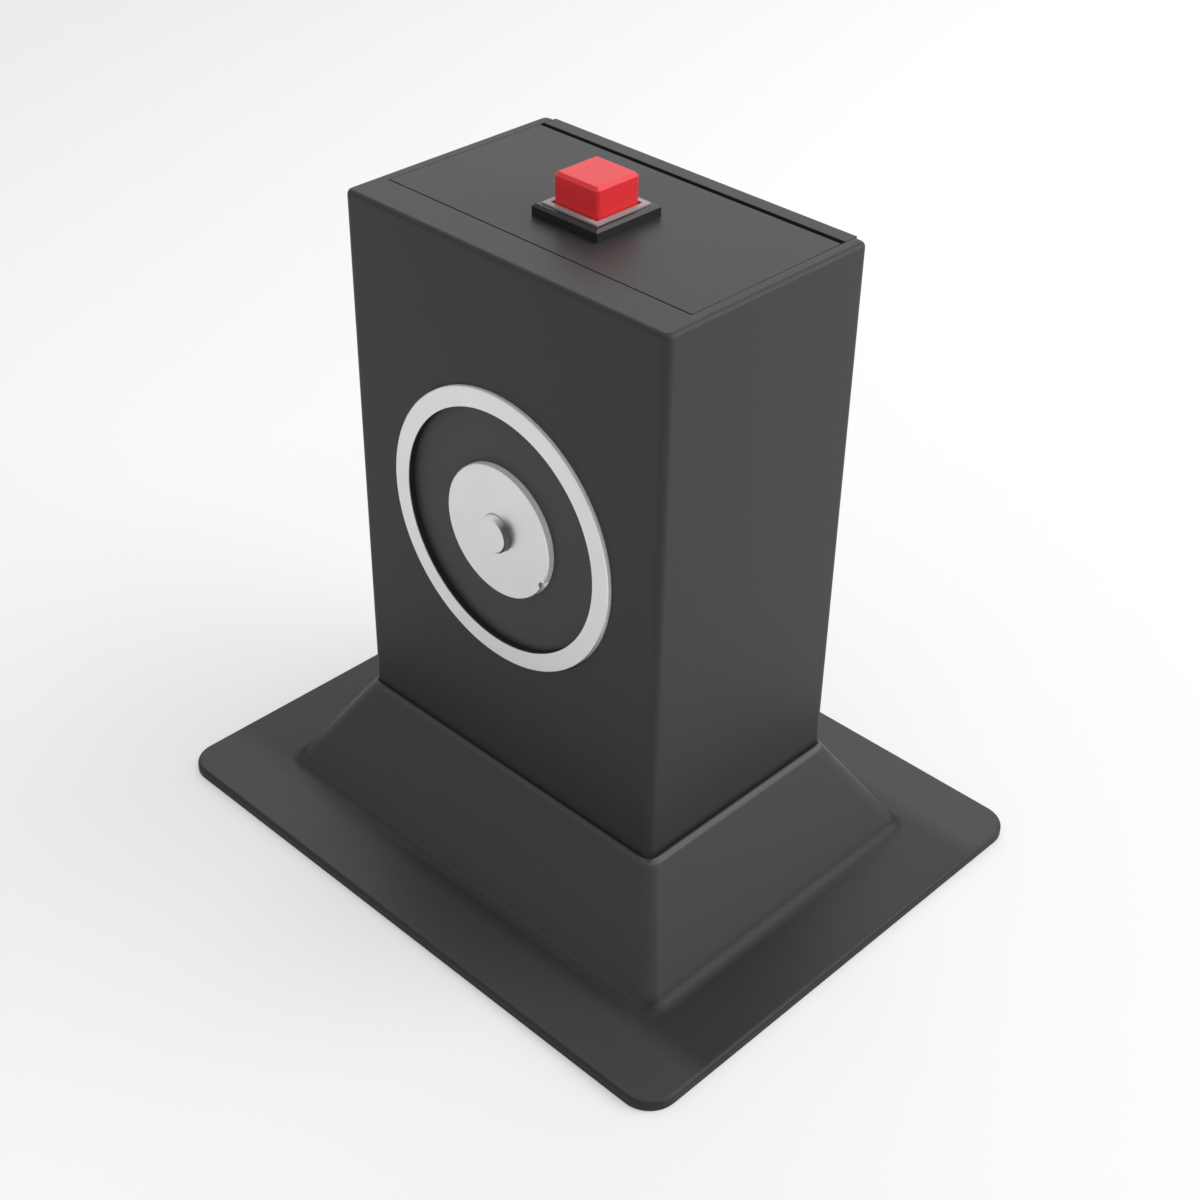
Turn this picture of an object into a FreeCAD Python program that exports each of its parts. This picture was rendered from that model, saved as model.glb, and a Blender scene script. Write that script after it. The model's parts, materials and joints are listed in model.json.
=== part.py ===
"""Floor-standing electromagnetic door holder.

A steel floor plate is screwed to the floor. A moulded plinth stands over it and holds the
housing in a rim pocket. Inside the housing a folded steel bracket carries a pot magnet whose
face comes through the front wall, and a release button sits in the top panel.
Millimetres, +Z up, the magnet faces -Y, origin at the middle of the underside.
"""
import FreeCAD, Part
import math
import os

V = FreeCAD.Vector
X_AXIS = V(1, 0, 0)
Y_AXIS = V(0, 1, 0)
Z_AXIS = V(0, 0, 1)

# Cutting shapes reach this far past the faces they cut
over = 1.0
# Points closer than this count as one place
same_place = 0.01

# Plinth
base_width = 134.4
base_depth = 107.6
base_corner_radius = 6.0
flange_thickness = 2.0
flange_edge_radius = 0.8
plinth_height = 23.0
slope_run_x = 13.3
slope_run_y = 13.2
slope_corner_radius = 4.0
slope_foot_radius = 3.0
slope_wall = 3.4
rim_land = 0.4
rim_edge_radius = 0.2
pocket_clearance = 0.2
pocket_wall = 2.0
deck_bottom = 9.0
deck_thickness = 3.0
deck_opening_clearance = 1.0
deck_opening_depth = 43.0
plinth_boss_radius = 4.5
plinth_rib = 2.0
plinth_rib_spacing = 24.0
plinth_side_rib_y = 10.0

# Floor plate
plate_thickness = 4.0
plate_corner_radius = 4.0
plate_clearance = 0.5
plate_headroom = 0.3
floor_hole_radius = 2.75
floor_sink_radius = 5.2
floor_hole_spacing_x = 84.0
floor_hole_spacing_y = 56.0
cable_hole_radius = 8.0
cable_hole_y = 13.0

# Housing
housing_width = 77.0
housing_depth = 49.0
housing_top = 130.0
housing_wall = 2.5
housing_edge_radius = 1.5
housing_rim_radius = 1.0
housing_foot_thickness = 3.0
top_lip_depth = 8.0
panel_ledge_width = 2.5
panel_ledge_height = 3.0
collar_wall = 2.0
collar_depth = 6.0

# Top panel and rear cover
panel_seam = 0.3
side_seam = 0.12
tongue_reach = 3.0
tongue_thickness = 2.0
tongue_clearance = 0.1
panel_flange = 2.0
panel_flange_drop = 5.0
panel_flange_inset = 2.6
clip_width = 8.0
clip_thickness = 2.0
clip_hook = 1.6
clip_hook_height = 2.0
clip_clearance = 0.2
clip_front_y = -8.0
clip_rear_y = 9.0
rear_cover_thickness = 3.0
rear_groove = 1.2
rear_groove_depth = 3.0
rear_lip_thickness = 2.0
rear_cover_foot_gap = 0.3
rear_rib = 1.5
rear_rib_inset_x = 10.0
rear_rib_inset_z = 12.0
cover_screw_inset_x = 7.5
cover_screw_low_z = 36.0
cover_screw_drop = 14.0
cover_boss_radius = 4.0
cover_boss_length = 9.0
cover_boss_floor = 1.0
cover_socket_depth = 1.0

# Magnet
magnet_below_switch = 6.0
magnet_proud = 0.8
pot_radius = 27.5
pot_bore_radius = 23.8
pot_length = 26.0
pot_back = 5.0
pot_edge_chamfer = 0.2
magnet_clearance = 0.2
core_radius = 13.0
core_edge_chamfer = 0.2
core_spigot_radius = 6.0
core_notch_radius = 0.9
core_notch_angle = -28.0
face_recess = 1.4
potting_thickness = 3.0
coil_fit = 0.05
bobbin_tube_wall = 1.0
bobbin_flange = 1.2
winding_gap = 0.1
winding_margin = 1.3
lead_hole_radius = 1.0
lead_hole_pcd_radius = 18.5
lead_spacing = 5.0

# Ejector pin
pin_head_radius = 3.6
pin_head_thickness = 3.0
pin_proud = 1.5
pin_head_chamfer = 0.35
pin_stem_radius = 2.0
pin_running_fit = 0.05
pin_well_clearance = 0.1
pin_well_depth = 12.0
pin_clip_radius = 4.0
pin_clip_thickness = 0.8
pin_clip_gap = 0.2
pin_clip_mouth = 3.2
pin_tail = 1.0
pin_spring_wire = 0.7
pin_spring_turns = 5.0
spring_steps_per_turn = 14

# Bracket
bracket_thickness = 3.0
bracket_width = 50.0
bracket_bend = 3.0
bracket_foot_length = 22.0
bracket_pin_hole_radius = 5.5
bracket_gusset_clearance = 6.5
bracket_lead_slot = 2.5
bracket_bolt_x = 14.0
bracket_bolt_from_edge = 11.0

# Fasteners
thread_fit = 0.05
m25_radius = 1.25
m3_radius = 1.5
m4_radius = 2.0
m5_radius = 2.5
clearance_m25 = 0.2
clearance_m3 = 0.2
clearance_m4 = 0.2
clearance_m5 = 0.25
thread_end = 0.5
socket_share = 0.55
socket_depth_share = 0.6
base_screw_front_y = -15.0
base_screw_rear_y = 5.0
base_screw_head_radius = 3.6
base_screw_head_height = 2.6
magnet_screw_circle = 18.0
magnet_screw_head_radius = 3.5
magnet_screw_head_height = 4.0
bolt_head_radius = 4.6
bolt_head_height = 3.5
washer_radius = 5.0
washer_thickness = 1.0
cover_screw_head_radius = 2.9
board_screw_head_radius = 2.3
board_screw_head_height = 1.6

# Release button
button_y = -1.0
button_travel = 2.0
cap_width = 10.4
cap_top = 8.0
cap_skirt = 2.0
cap_wall = 1.2
cap_roof = 2.0
cap_bevel = 0.6
cap_corner_radius = 0.9
cap_gap = 0.3
collar_width = 13.0
collar_rise = 2.5
bezel_width = 15.5
bezel_height = 2.2
bezel_bevel = 0.5
switch_fit = 0.1
switch_well_depth = 8.0
switch_body_depth = 15.0
plunger_radius = 2.0
plunger_running_fit = 0.05
plunger_end = 2.0
switch_spring_wire = 0.6
switch_spring_radius = 3.1
switch_spring_turns = 4.0
switch_clip_width = 17.0
switch_clip_thickness = 2.0
blade_width = 2.8
blade_thickness = 0.5
blade_length = 4.5
blade_spacing = 5.0

# Circuit board
board_width = 40.0
board_height = 35.0
board_below_screws = 0.5
board_thickness = 1.6
board_corner_radius = 1.5
standoff_length = 6.3
standoff_radius = 2.5
board_hole_inset = 3.5
terminal_pitch = 5.0
terminal_poles = 4
terminal_depth = 8.2
terminal_height = 9.0
terminal_rise = 2.5
terminal_entry = 2.6
terminal_entry_depth = 5.0
terminal_entry_forward = 1.0
terminal_low_chamfer = 1.0
terminal_low_rise = 1.5
terminal_high_chamfer = 2.5
terminal_screw_share = 0.42
terminal_slot_width = 0.5
terminal_slot_depth = 0.6
terminal_screw_radius = 1.5
terminal_screw_length = 3.0
terminal_screw_sink = 0.6
terminal_screw_fit = 0.05
diode_radius = 1.35
diode_length = 5.2
diode_lead_radius = 0.4
diode_lead_span = 10.0
diode_clearance = 0.3
plug_width = 6.0
plug_depth = 5.0
plug_height = 6.0
plug_pitch = 2.5
plug_x = 9.0
plug_from_top = 5.0
lead_radius = 0.6
lead_bend_share = 0.45
lead_bend_steps = 4
round_wire_sides = 8
switch_lead_rise = 2.0
switch_lead_out = 8.0
switch_lead_drop = 8.0
switch_lead_turn = 24.0
switch_lead_share = 0.4

# Places that several pieces share
half_w = housing_width / 2
half_d = housing_depth / 2
inner_x = half_w - housing_wall
front_inner_y = -half_d + housing_wall
panel_bottom = housing_top - housing_wall
deck_top = deck_bottom + deck_thickness
deck_opening_x = bracket_width / 2 + deck_opening_clearance
deck_opening_y = deck_opening_depth / 2
foot_top = deck_top + housing_foot_thickness
pocket_half_x = half_w + pocket_clearance
pocket_half_y = half_d + pocket_clearance
rim_half_x = pocket_half_x + rim_land
rim_half_y = pocket_half_y + rim_land
slope_half_x = half_w + slope_run_x
slope_half_y = half_d + slope_run_y
recess_half_x = slope_half_x - slope_wall + plate_clearance
recess_half_y = slope_half_y - slope_wall + plate_clearance
plate_half_x = recess_half_x - plate_clearance
plate_half_y = recess_half_y - plate_clearance
floor_hole_x = floor_hole_spacing_x / 2
floor_hole_y = floor_hole_spacing_y / 2
base_screw_x = (inner_x + deck_opening_x) / 2
rear_inner_y = half_d - rear_cover_thickness
panel_front_y = -half_d + top_lip_depth + panel_seam
panel_rear_y = rear_inner_y - rear_groove
rear_lip_y = panel_rear_y - rear_groove
cover_screw_x = half_w - cover_screw_inset_x
cover_screw_high_z = housing_top - cover_screw_drop
switch_bottom = housing_top - switch_body_depth
blade_bottom = switch_bottom - blade_length
magnet_height = blade_bottom - magnet_below_switch - pot_radius
magnet_face_y = -half_d - magnet_proud
pot_back_y = magnet_face_y + pot_length
pot_floor_y = pot_back_y - pot_back
potting_y = magnet_face_y + face_recess
bobbin_front_y = potting_y + potting_thickness
pin_face_y = magnet_face_y - pin_proud
pin_head_back_y = pin_face_y + pin_head_thickness
pin_well_floor_y = magnet_face_y + pin_well_depth
pin_clip_y = pot_back_y + pin_clip_gap
bracket_back_y = pot_back_y + bracket_thickness
bracket_front_y = pot_back_y - bracket_foot_length
bracket_bolt_y = bracket_front_y + bracket_bolt_from_edge
bracket_gusset_top = magnet_height - pot_radius - bracket_gusset_clearance
board_y = bracket_back_y + standoff_length
board_rear_y = board_y + board_thickness
magnet_screw_low_z = magnet_height - magnet_screw_circle / 2 - magnet_screw_head_radius
board_top = magnet_screw_low_z - board_below_screws
board_bottom = board_top - board_height
lead_hole_z = magnet_height - lead_hole_pcd_radius
well_bottom = housing_top - switch_well_depth
cap_bottom = housing_top - cap_skirt
cap_roof_z = housing_top + cap_top - cap_roof
plug_top = board_top - plug_from_top
plug_mid_y = board_rear_y + plug_depth / 2


def block(x0, x1, y0, y1, z0, z1):
    """Box between two corners."""
    return Part.makeBox(x1 - x0, y1 - y0, z1 - z0, V(x0, y0, z0))


def post(x, y, z0, z1, radius):
    """Upright cylinder."""
    return Part.makeCylinder(radius, z1 - z0, V(x, y, z0), Z_AXIS)


def bar(x, z, y0, y1, radius):
    """Cylinder along Y."""
    return Part.makeCylinder(radius, y1 - y0, V(x, y0, z), Y_AXIS)


def cone_y(x, z, y0, y1, radius0, radius1):
    """Cone along Y."""
    return Part.makeCone(radius0, radius1, y1 - y0, V(x, y0, z), Y_AXIS)


def tube_y(z, y0, y1, outer, inner):
    """Ring about the magnet's axis."""
    return bar(0, z, y0, y1, outer).cut(bar(0, z, y0, y1, inner))


def fuse(first, *others):
    """One solid from touching pieces."""
    return first.multiFuse(list(others)).removeSplitter()


def rounded_outline(half_x, half_y, radius, z):
    """Closed rectangle wire with rounded corners at height z."""
    edges = []
    for turn in range(4):
        a = (half_x, half_y) if turn % 2 == 0 else (half_y, half_x)
        start = V(a[0], -a[1] + radius, z)
        end = V(a[0], a[1] - radius, z)
        mid = V(a[0] - radius * (1 - math.sqrt(0.5)), a[1] - radius * (1 - math.sqrt(0.5)), z)
        corner = V(a[0] - radius, a[1], z)
        spin = FreeCAD.Rotation(Z_AXIS, 90 * turn)
        start, end, mid, corner = [spin.multVec(p) for p in (start, end, mid, corner)]
        edges.append(Part.LineSegment(start, end).toShape())
        edges.append(Part.Arc(end, mid, corner).toShape())
    return Part.Wire(edges)


def rounded_plate(half_x, half_y, z0, z1, radius):
    """Flat plate with rounded corners."""
    return Part.Face(rounded_outline(half_x, half_y, radius, z0)).extrude(V(0, 0, z1 - z0))


def edges_near(shape, test):
    """Edges whose middle passes the test."""
    found = []
    for edge in shape.Edges:
        middle = edge.valueAt((edge.FirstParameter + edge.LastParameter) / 2)
        if test(middle, edge):
            found.append(edge)
    return found


def is_level(edge):
    """Whether both ends of an edge have one height."""
    box = edge.BoundBox
    return box.ZLength < same_place


def hex_prism_z(x, y, z0, z1, radius):
    """Upright hexagonal prism, radius to the corners."""
    points = [V(x + radius * math.cos(math.radians(60 * i)), y + radius * math.sin(math.radians(60 * i)), z0)
              for i in range(7)]
    return Part.Face(Part.makePolygon(points)).extrude(V(0, 0, z1 - z0))


def hex_prism_y(x, z, y0, y1, radius):
    """Hexagonal prism along Y, radius to the corners."""
    points = [V(x + radius * math.cos(math.radians(60 * i)), y0, z + radius * math.sin(math.radians(60 * i)))
              for i in range(7)]
    return Part.Face(Part.makePolygon(points)).extrude(V(0, y1 - y0, 0))


def four_places(x, low, high):
    """Mirrored pairs at two levels."""
    return [(side * x, level) for side in (-1, 1) for level in (low, high)]


def wire_section(centre, across, up, radius):
    """Outline of a round wire about a point of its middle line."""
    corners = []
    for corner in range(round_wire_sides):
        angle = math.tau * corner / round_wire_sides
        corners.append(centre + (across * math.cos(angle) + up * math.sin(angle)) * radius)
    return Part.makePolygon(corners + corners[:1])


def spring(radius, wire, length, turns):
    """Open coil spring standing on the origin, lofted through wire sections square to its helix."""
    height = length - wire
    slope = math.atan2(height, math.tau * radius * turns)
    steps = round(turns * spring_steps_per_turn)
    sections = []
    for step in range(steps + 1):
        turned = math.tau * turns * step / steps
        outward = V(math.cos(turned), math.sin(turned), 0)
        along = V(-math.sin(turned) * math.cos(slope), math.cos(turned) * math.cos(slope), math.sin(slope))
        centre = outward * radius + V(0, 0, wire / 2 + height * step / steps)
        sections.append(wire_section(centre, outward, along.cross(outward), wire / 2))
    return Part.makeLoft(sections, True, True)


def soft_lead(points, radius):
    """Insulated wire: straight runs joined by round bends as large as the runs allow."""
    points = [V(*p) for p in points]
    along = (points[1] - points[0]).normalize()
    path = [(points[0], along)]
    for before, corner, after in zip(points, points[1:], points[2:]):
        back = (before - corner).normalize()
        on = (after - corner).normalize()
        reach = lead_bend_share * min((before - corner).Length, (after - corner).Length)
        half_angle = math.acos(back.dot(on)) / 2
        centre = corner + (back + on).normalize() * (reach / math.cos(half_angle))
        start = corner + back * reach
        turned = 180 - math.degrees(2 * half_angle)
        for step in range(lead_bend_steps + 1):
            spin = FreeCAD.Rotation(on.cross(back), turned * step / lead_bend_steps)
            path.append((centre + spin.multVec(start - centre), spin.multVec(back * -1)))
    path.append((points[-1], (points[-1] - points[-2]).normalize()))
    across = along.cross(X_AXIS)
    sections = []
    for centre, heading in path:
        across = (across - heading * across.dot(heading)).normalize()
        sections.append(wire_section(centre, across, heading.cross(across), radius))
    return Part.makeLoft(sections, True, True)


def slope_solid(inset, z0, z1):
    """Truncated pyramid of the plinth with rounded corners, its faces moved inwards by inset."""
    rise = plinth_height - flange_thickness

    def half_sizes(z):
        share = (z - flange_thickness) / rise
        half_x = slope_half_x + (rim_half_x - slope_half_x) * share - inset
        half_y = slope_half_y + (rim_half_y - slope_half_y) * share - inset
        return half_x, half_y
    x0, y0 = half_sizes(z0)
    x1, y1 = half_sizes(z1)
    body = Part.makeWedge(-x0, 0, -y0, -y1, -x1, x0, z1 - z0, y0, y1, x1)
    body.rotate(V(0, 0, 0), X_AXIS, 90)
    body.translate(V(0, 0, z0))
    return body.makeFillet(slope_corner_radius, edges_near(body, lambda m, e: not is_level(e)))


def plinth_outside():
    """Outer form: flange with rounded edge, filleted foot of the slopes, sloping sides."""
    flange = rounded_plate(base_width / 2, base_depth / 2, 0, flange_thickness, base_corner_radius)
    rim = edges_near(flange, lambda m, e: is_level(e) and abs(m.z - flange_thickness) < same_place)
    flange = flange.makeFillet(flange_edge_radius, rim)
    body = fuse(flange, slope_solid(0, flange_thickness, plinth_height))

    def at_foot(m, e):
        inside = abs(m.x) < slope_half_x + over and abs(m.y) < slope_half_y + over
        return is_level(e) and abs(m.z - flange_thickness) < same_place and inside
    body = body.makeFillet(slope_foot_radius, edges_near(body, at_foot))
    top = edges_near(body, lambda m, e: is_level(e) and abs(m.z - plinth_height) < same_place)
    return body.makeFillet(rim_edge_radius, top)


def plinth_ribs():
    """Stiffening ribs between the pocket and the sloping walls."""
    low = plate_thickness + plate_headroom
    half = plinth_rib / 2
    ribs = []
    for x in (-plinth_rib_spacing, 0, plinth_rib_spacing):
        for side in (-1, 1):
            y = sorted((side * pocket_half_y, side * slope_half_y))
            ribs.append(block(x - half, x + half, y[0], y[1], low, plinth_height))
    for y in (-plinth_side_rib_y, plinth_side_rib_y):
        for side in (-1, 1):
            x = sorted((side * pocket_half_x, side * slope_half_x))
            ribs.append(block(x[0], x[1], y - half, y + half, low, plinth_height))
    return ribs


def base_screw_places():
    """The four screws that clamp housing, plinth and floor plate together."""
    return four_places(base_screw_x, base_screw_front_y, base_screw_rear_y)


def plinth_core():
    """Hollow under the slopes, with room left for pocket wall, deck, ribs and screw bosses."""
    outer_x = pocket_half_x + pocket_wall
    outer_y = pocket_half_y + pocket_wall
    hollow = slope_solid(slope_wall, plate_thickness, plinth_height - slope_wall)
    hollow = fuse(hollow, rounded_plate(recess_half_x, recess_half_y, 0, plate_thickness + plate_headroom,
                                        plate_corner_radius))
    hollow = hollow.cut(block(-outer_x, outer_x, -outer_y, outer_y, deck_bottom, plinth_height))
    for rib in plinth_ribs():
        hollow = hollow.cut(rib)
    for x, y in base_screw_places():
        hollow = hollow.cut(post(x, y, plate_thickness, deck_top, plinth_boss_radius))
    return hollow


def plinth():
    """Moulded plinth, hollow from below, with the rim pocket for the housing."""
    body = plinth_outside().cut(plinth_core())
    body = body.cut(rounded_plate(pocket_half_x, pocket_half_y, deck_top, plinth_height + over,
                                  housing_edge_radius + pocket_clearance))
    body = body.cut(block(-deck_opening_x, deck_opening_x, -deck_opening_y, deck_opening_y,
                          deck_bottom - over, deck_top + over))
    for x, y in base_screw_places():
        body = body.cut(post(x, y, 0, plinth_height, m4_radius + clearance_m4))
    return body


def floor_plate():
    """Steel plate with four sunk floor holes, tapped holes and the cable entry."""
    body = rounded_plate(plate_half_x, plate_half_y, 0, plate_thickness, plate_corner_radius)
    sink_depth = floor_sink_radius - floor_hole_radius
    for x, y in four_places(floor_hole_x, -floor_hole_y, floor_hole_y):
        body = body.cut(post(x, y, -1, plate_thickness + over, floor_hole_radius))
        body = body.cut(Part.makeCone(floor_hole_radius, floor_sink_radius, sink_depth,
                                      V(x, y, plate_thickness - sink_depth), Z_AXIS))
    for x, y in base_screw_places():
        body = body.cut(post(x, y, -1, plate_thickness + over, m4_radius))
    for x in (-bracket_bolt_x, bracket_bolt_x):
        body = body.cut(post(x, bracket_bolt_y, -1, plate_thickness + over, m5_radius))
    return body.cut(post(0, cable_hole_y, -1, plate_thickness + over, cable_hole_radius))


def cover_screw_places():
    """The four screws of the rear cover, as x and z."""
    return four_places(cover_screw_x, cover_screw_low_z, cover_screw_high_z)


def housing_shell():
    """Moulded front, sides, top lip and feet in one piece, open at the rear and the top."""
    body = block(-half_w, half_w, -half_d, half_d, deck_top, housing_top)
    upright = edges_near(body, lambda m, e: not is_level(e))
    body = body.makeFillet(housing_edge_radius, upright)

    def top_rim(m, e):
        return is_level(e) and abs(m.z - housing_top) < same_place and m.y < half_d - housing_edge_radius
    body = body.makeFillet(housing_rim_radius, edges_near(body, top_rim))
    body = body.cut(block(-inner_x, inner_x, front_inner_y, half_d + over, foot_top, panel_bottom))
    body = body.cut(block(-inner_x, inner_x, panel_front_y - panel_seam, half_d + over,
                          foot_top, housing_top + over))
    body = body.cut(block(-deck_opening_x, deck_opening_x, front_inner_y, half_d + over,
                          deck_top - over, foot_top))
    body = body.cut(block(-inner_x, inner_x, rear_inner_y - side_seam, half_d + over, deck_top - over, foot_top))
    added = []
    for side in (-1, 1):
        ledge = sorted((side * inner_x, side * (inner_x - panel_ledge_width)))
        added.append(block(ledge[0], ledge[1], front_inner_y, rear_lip_y - side_seam,
                           panel_bottom - panel_ledge_height, panel_bottom))
    for x, z in cover_screw_places():
        added.append(bar(x, z, rear_inner_y - cover_boss_length, rear_inner_y, cover_boss_radius))
        wall = sorted((x, math.copysign(inner_x, x)))
        added.append(block(wall[0], wall[1], rear_inner_y - cover_boss_length, rear_inner_y,
                           z - m3_radius, z + m3_radius))
    bore = pot_radius + magnet_clearance
    added.append(bar(0, magnet_height, front_inner_y, front_inner_y + collar_depth, bore + collar_wall))
    body = fuse(body, *added)
    body = body.cut(bar(0, magnet_height, -half_d - over, front_inner_y + collar_depth + over, bore))
    for x, z in cover_screw_places():
        body = body.cut(bar(x, z, rear_inner_y - cover_boss_length + cover_boss_floor, rear_inner_y, m3_radius))
    for x, y in base_screw_places():
        body = body.cut(post(x, y, deck_top - over, foot_top + over, m4_radius + clearance_m4))
    return body


def top_panel():
    """Panel let in between the side walls, hooked under the lip and clipped to the ledges."""
    half_x = inner_x - side_seam
    body = block(-half_x, half_x, panel_front_y, panel_rear_y, panel_bottom, housing_top)
    tongue_x = half_x - panel_ledge_width - clip_clearance
    tongue_z = panel_bottom - tongue_clearance
    tongue_front = panel_front_y - tongue_reach
    added = [block(-tongue_x, tongue_x, tongue_front, panel_front_y + tongue_reach,
                   tongue_z - tongue_thickness, tongue_z),
             block(-tongue_x, tongue_x, panel_front_y, panel_front_y + tongue_reach, tongue_z, panel_bottom)]
    flange_rear = panel_rear_y - panel_flange_inset
    added.append(block(-tongue_x, tongue_x, flange_rear - panel_flange, flange_rear,
                       panel_bottom - panel_flange_drop, panel_bottom))
    under_ledge = panel_bottom - panel_ledge_height - clip_clearance
    for side in (-1, 1):
        for y in (clip_front_y, clip_rear_y):
            outer = tongue_x
            points = [(outer - clip_thickness, panel_bottom), (outer, panel_bottom), (outer, under_ledge),
                      (outer + clip_hook, under_ledge), (outer, under_ledge - clip_hook_height),
                      (outer - clip_thickness, under_ledge - clip_hook_height),
                      (outer - clip_thickness, panel_bottom)]
            outline = Part.makePolygon([V(side * x, y - clip_width / 2, z) for x, z in points])
            added.append(Part.Face(outline).extrude(V(0, clip_width, 0)))
    body = fuse(body, *added)
    hole = collar_width / 2 + switch_fit
    return body.cut(block(-hole, hole, button_y - hole, button_y + hole, panel_bottom - over, housing_top + over))


def rear_cover():
    """Flat cover between the side walls, with a lip that closes the groove and a stiffening rib."""
    half_x = inner_x - side_seam
    low = deck_top + rear_cover_foot_gap
    body = block(-half_x, half_x, rear_inner_y, half_d, low, housing_top)
    lip_top = housing_top - rear_groove_depth
    lip = block(-half_x, half_x, rear_lip_y, rear_inner_y, lip_top - rear_lip_thickness, lip_top)
    rib_x = half_x - rear_rib_inset_x
    rib_low = low + rear_rib_inset_z
    rib_high = housing_top - rear_rib_inset_z
    frame = block(-rib_x, rib_x, rear_inner_y - rear_rib, rear_inner_y, rib_low, rib_high)
    frame = frame.cut(block(-rib_x + rear_rib, rib_x - rear_rib, rear_inner_y - rear_rib, rear_inner_y,
                            rib_low + rear_rib, rib_high - rear_rib))
    body = fuse(body, lip, frame)
    hole = m3_radius + clearance_m3
    depth = cover_screw_head_radius - hole
    for x, z in cover_screw_places():
        body = body.cut(bar(x, z, rear_inner_y - over, half_d + over, hole))
        body = body.cut(cone_y(x, z, half_d - depth - clearance_m3, half_d + clearance_m3, hole,
                               cover_screw_head_radius + 2 * clearance_m3))
    return body


def magnet_pot():
    """Turned steel cup with a hole for the pole's spigot, tapped for its three screws."""
    body = bar(0, magnet_height, magnet_face_y, pot_back_y, pot_radius)
    body = body.cut(bar(0, magnet_height, magnet_face_y, pot_floor_y, pot_bore_radius))

    def outer_rim(m, e):
        return abs(m.y - magnet_face_y) < same_place and e.BoundBox.XLength > pot_radius + pot_bore_radius
    front = edges_near(body, outer_rim)
    body = body.makeChamfer(pot_edge_chamfer, front)
    body = body.cut(bar(0, magnet_height, pot_floor_y - over, pot_back_y + over, core_spigot_radius + coil_fit))
    for x, z in magnet_screw_places():
        body = body.cut(bar(x, z, pot_floor_y + thread_end, pot_back_y + over, m4_radius))
    for x in (-lead_spacing / 2, lead_spacing / 2):
        body = body.cut(bar(x, lead_hole_z, pot_floor_y - over, pot_back_y + over, lead_hole_radius))
    return body


def magnet_screw_places():
    """Three screws round the magnet's axis, as x and z."""
    places = []
    for angle in (90, 210, 330):
        a = math.radians(angle)
        places.append((magnet_screw_circle * math.cos(a), magnet_height + magnet_screw_circle * math.sin(a)))
    return places


def magnet_core():
    """Pole with a spigot, a well for the ejector and its spring, and a notch in its rim."""
    body = bar(0, magnet_height, magnet_face_y, pot_floor_y, core_radius)
    front = edges_near(body, lambda m, e: abs(m.y - magnet_face_y) < same_place)
    body = body.makeChamfer(core_edge_chamfer, front)
    body = fuse(body, bar(0, magnet_height, pot_floor_y, pot_back_y, core_spigot_radius))
    body = body.cut(bar(0, magnet_height, magnet_face_y - over, pot_back_y + over,
                        pin_stem_radius + pin_running_fit))
    body = body.cut(bar(0, magnet_height, magnet_face_y - over, pin_well_floor_y,
                        pin_head_radius + pin_well_clearance))
    a = math.radians(core_notch_angle)
    notch_x = core_radius * math.cos(a)
    notch_z = magnet_height + core_radius * math.sin(a)
    return body.cut(bar(notch_x, notch_z, magnet_face_y - over, potting_y, core_notch_radius))


def coil_bobbin():
    """Bobbin with two flanges round the pole."""
    inner = core_radius + coil_fit
    tube = inner + bobbin_tube_wall
    outer = pot_bore_radius - coil_fit
    body = bar(0, magnet_height, bobbin_front_y, pot_floor_y, outer)
    groove = tube_y(magnet_height, bobbin_front_y + bobbin_flange, pot_floor_y - bobbin_flange, outer + over, tube)
    body = body.cut(groove)
    body = body.cut(bar(0, magnet_height, bobbin_front_y - over, pot_floor_y + over, inner))
    for x in (-lead_spacing / 2, lead_spacing / 2):
        body = body.cut(bar(x, lead_hole_z, pot_floor_y - bobbin_flange - over, pot_floor_y + over,
                            lead_hole_radius))
    return body


def coil_winding():
    """Copper winding as one closed body."""
    inner = core_radius + coil_fit + bobbin_tube_wall + winding_gap
    outer = pot_bore_radius - winding_margin
    return tube_y(magnet_height, bobbin_front_y + bobbin_flange, pot_floor_y - bobbin_flange, outer, inner)


def potting_ring():
    """Resin that closes the coil space, set back from the magnet's face."""
    return tube_y(magnet_height, potting_y, bobbin_front_y, pot_bore_radius - coil_fit, core_radius + coil_fit)


def ejector_pin():
    """Sprung pin that pushes the armature off: head, stem and a tail behind its clip."""
    head = bar(0, magnet_height, pin_face_y, pin_head_back_y, pin_head_radius)
    front = edges_near(head, lambda m, e: abs(m.y - pin_face_y) < same_place)
    head = head.makeChamfer(pin_head_chamfer, front)
    tail = pin_clip_y + pin_clip_thickness + pin_tail
    return fuse(head, bar(0, magnet_height, pin_head_back_y, tail, pin_stem_radius))


def ejector_clip():
    """Open clip in the stem's groove."""
    body = tube_y(magnet_height, pin_clip_y, pin_clip_y + pin_clip_thickness, pin_clip_radius, pin_stem_radius)
    slot = pin_clip_mouth / 2
    return body.cut(block(-slot, slot, pin_clip_y - over, pin_clip_y + pin_clip_thickness + over,
                          magnet_height - pin_clip_radius - over, magnet_height))


def ejector_spring():
    """Coil spring between the pin's head and the floor of its well."""
    radius = (pin_stem_radius + pin_head_radius + pin_well_clearance) / 2
    coil = spring(radius, pin_spring_wire, pin_well_floor_y - pin_head_back_y, pin_spring_turns)
    coil.rotate(V(0, 0, 0), X_AXIS, -90)
    coil.translate(V(0, pin_head_back_y, magnet_height))
    return coil


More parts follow.
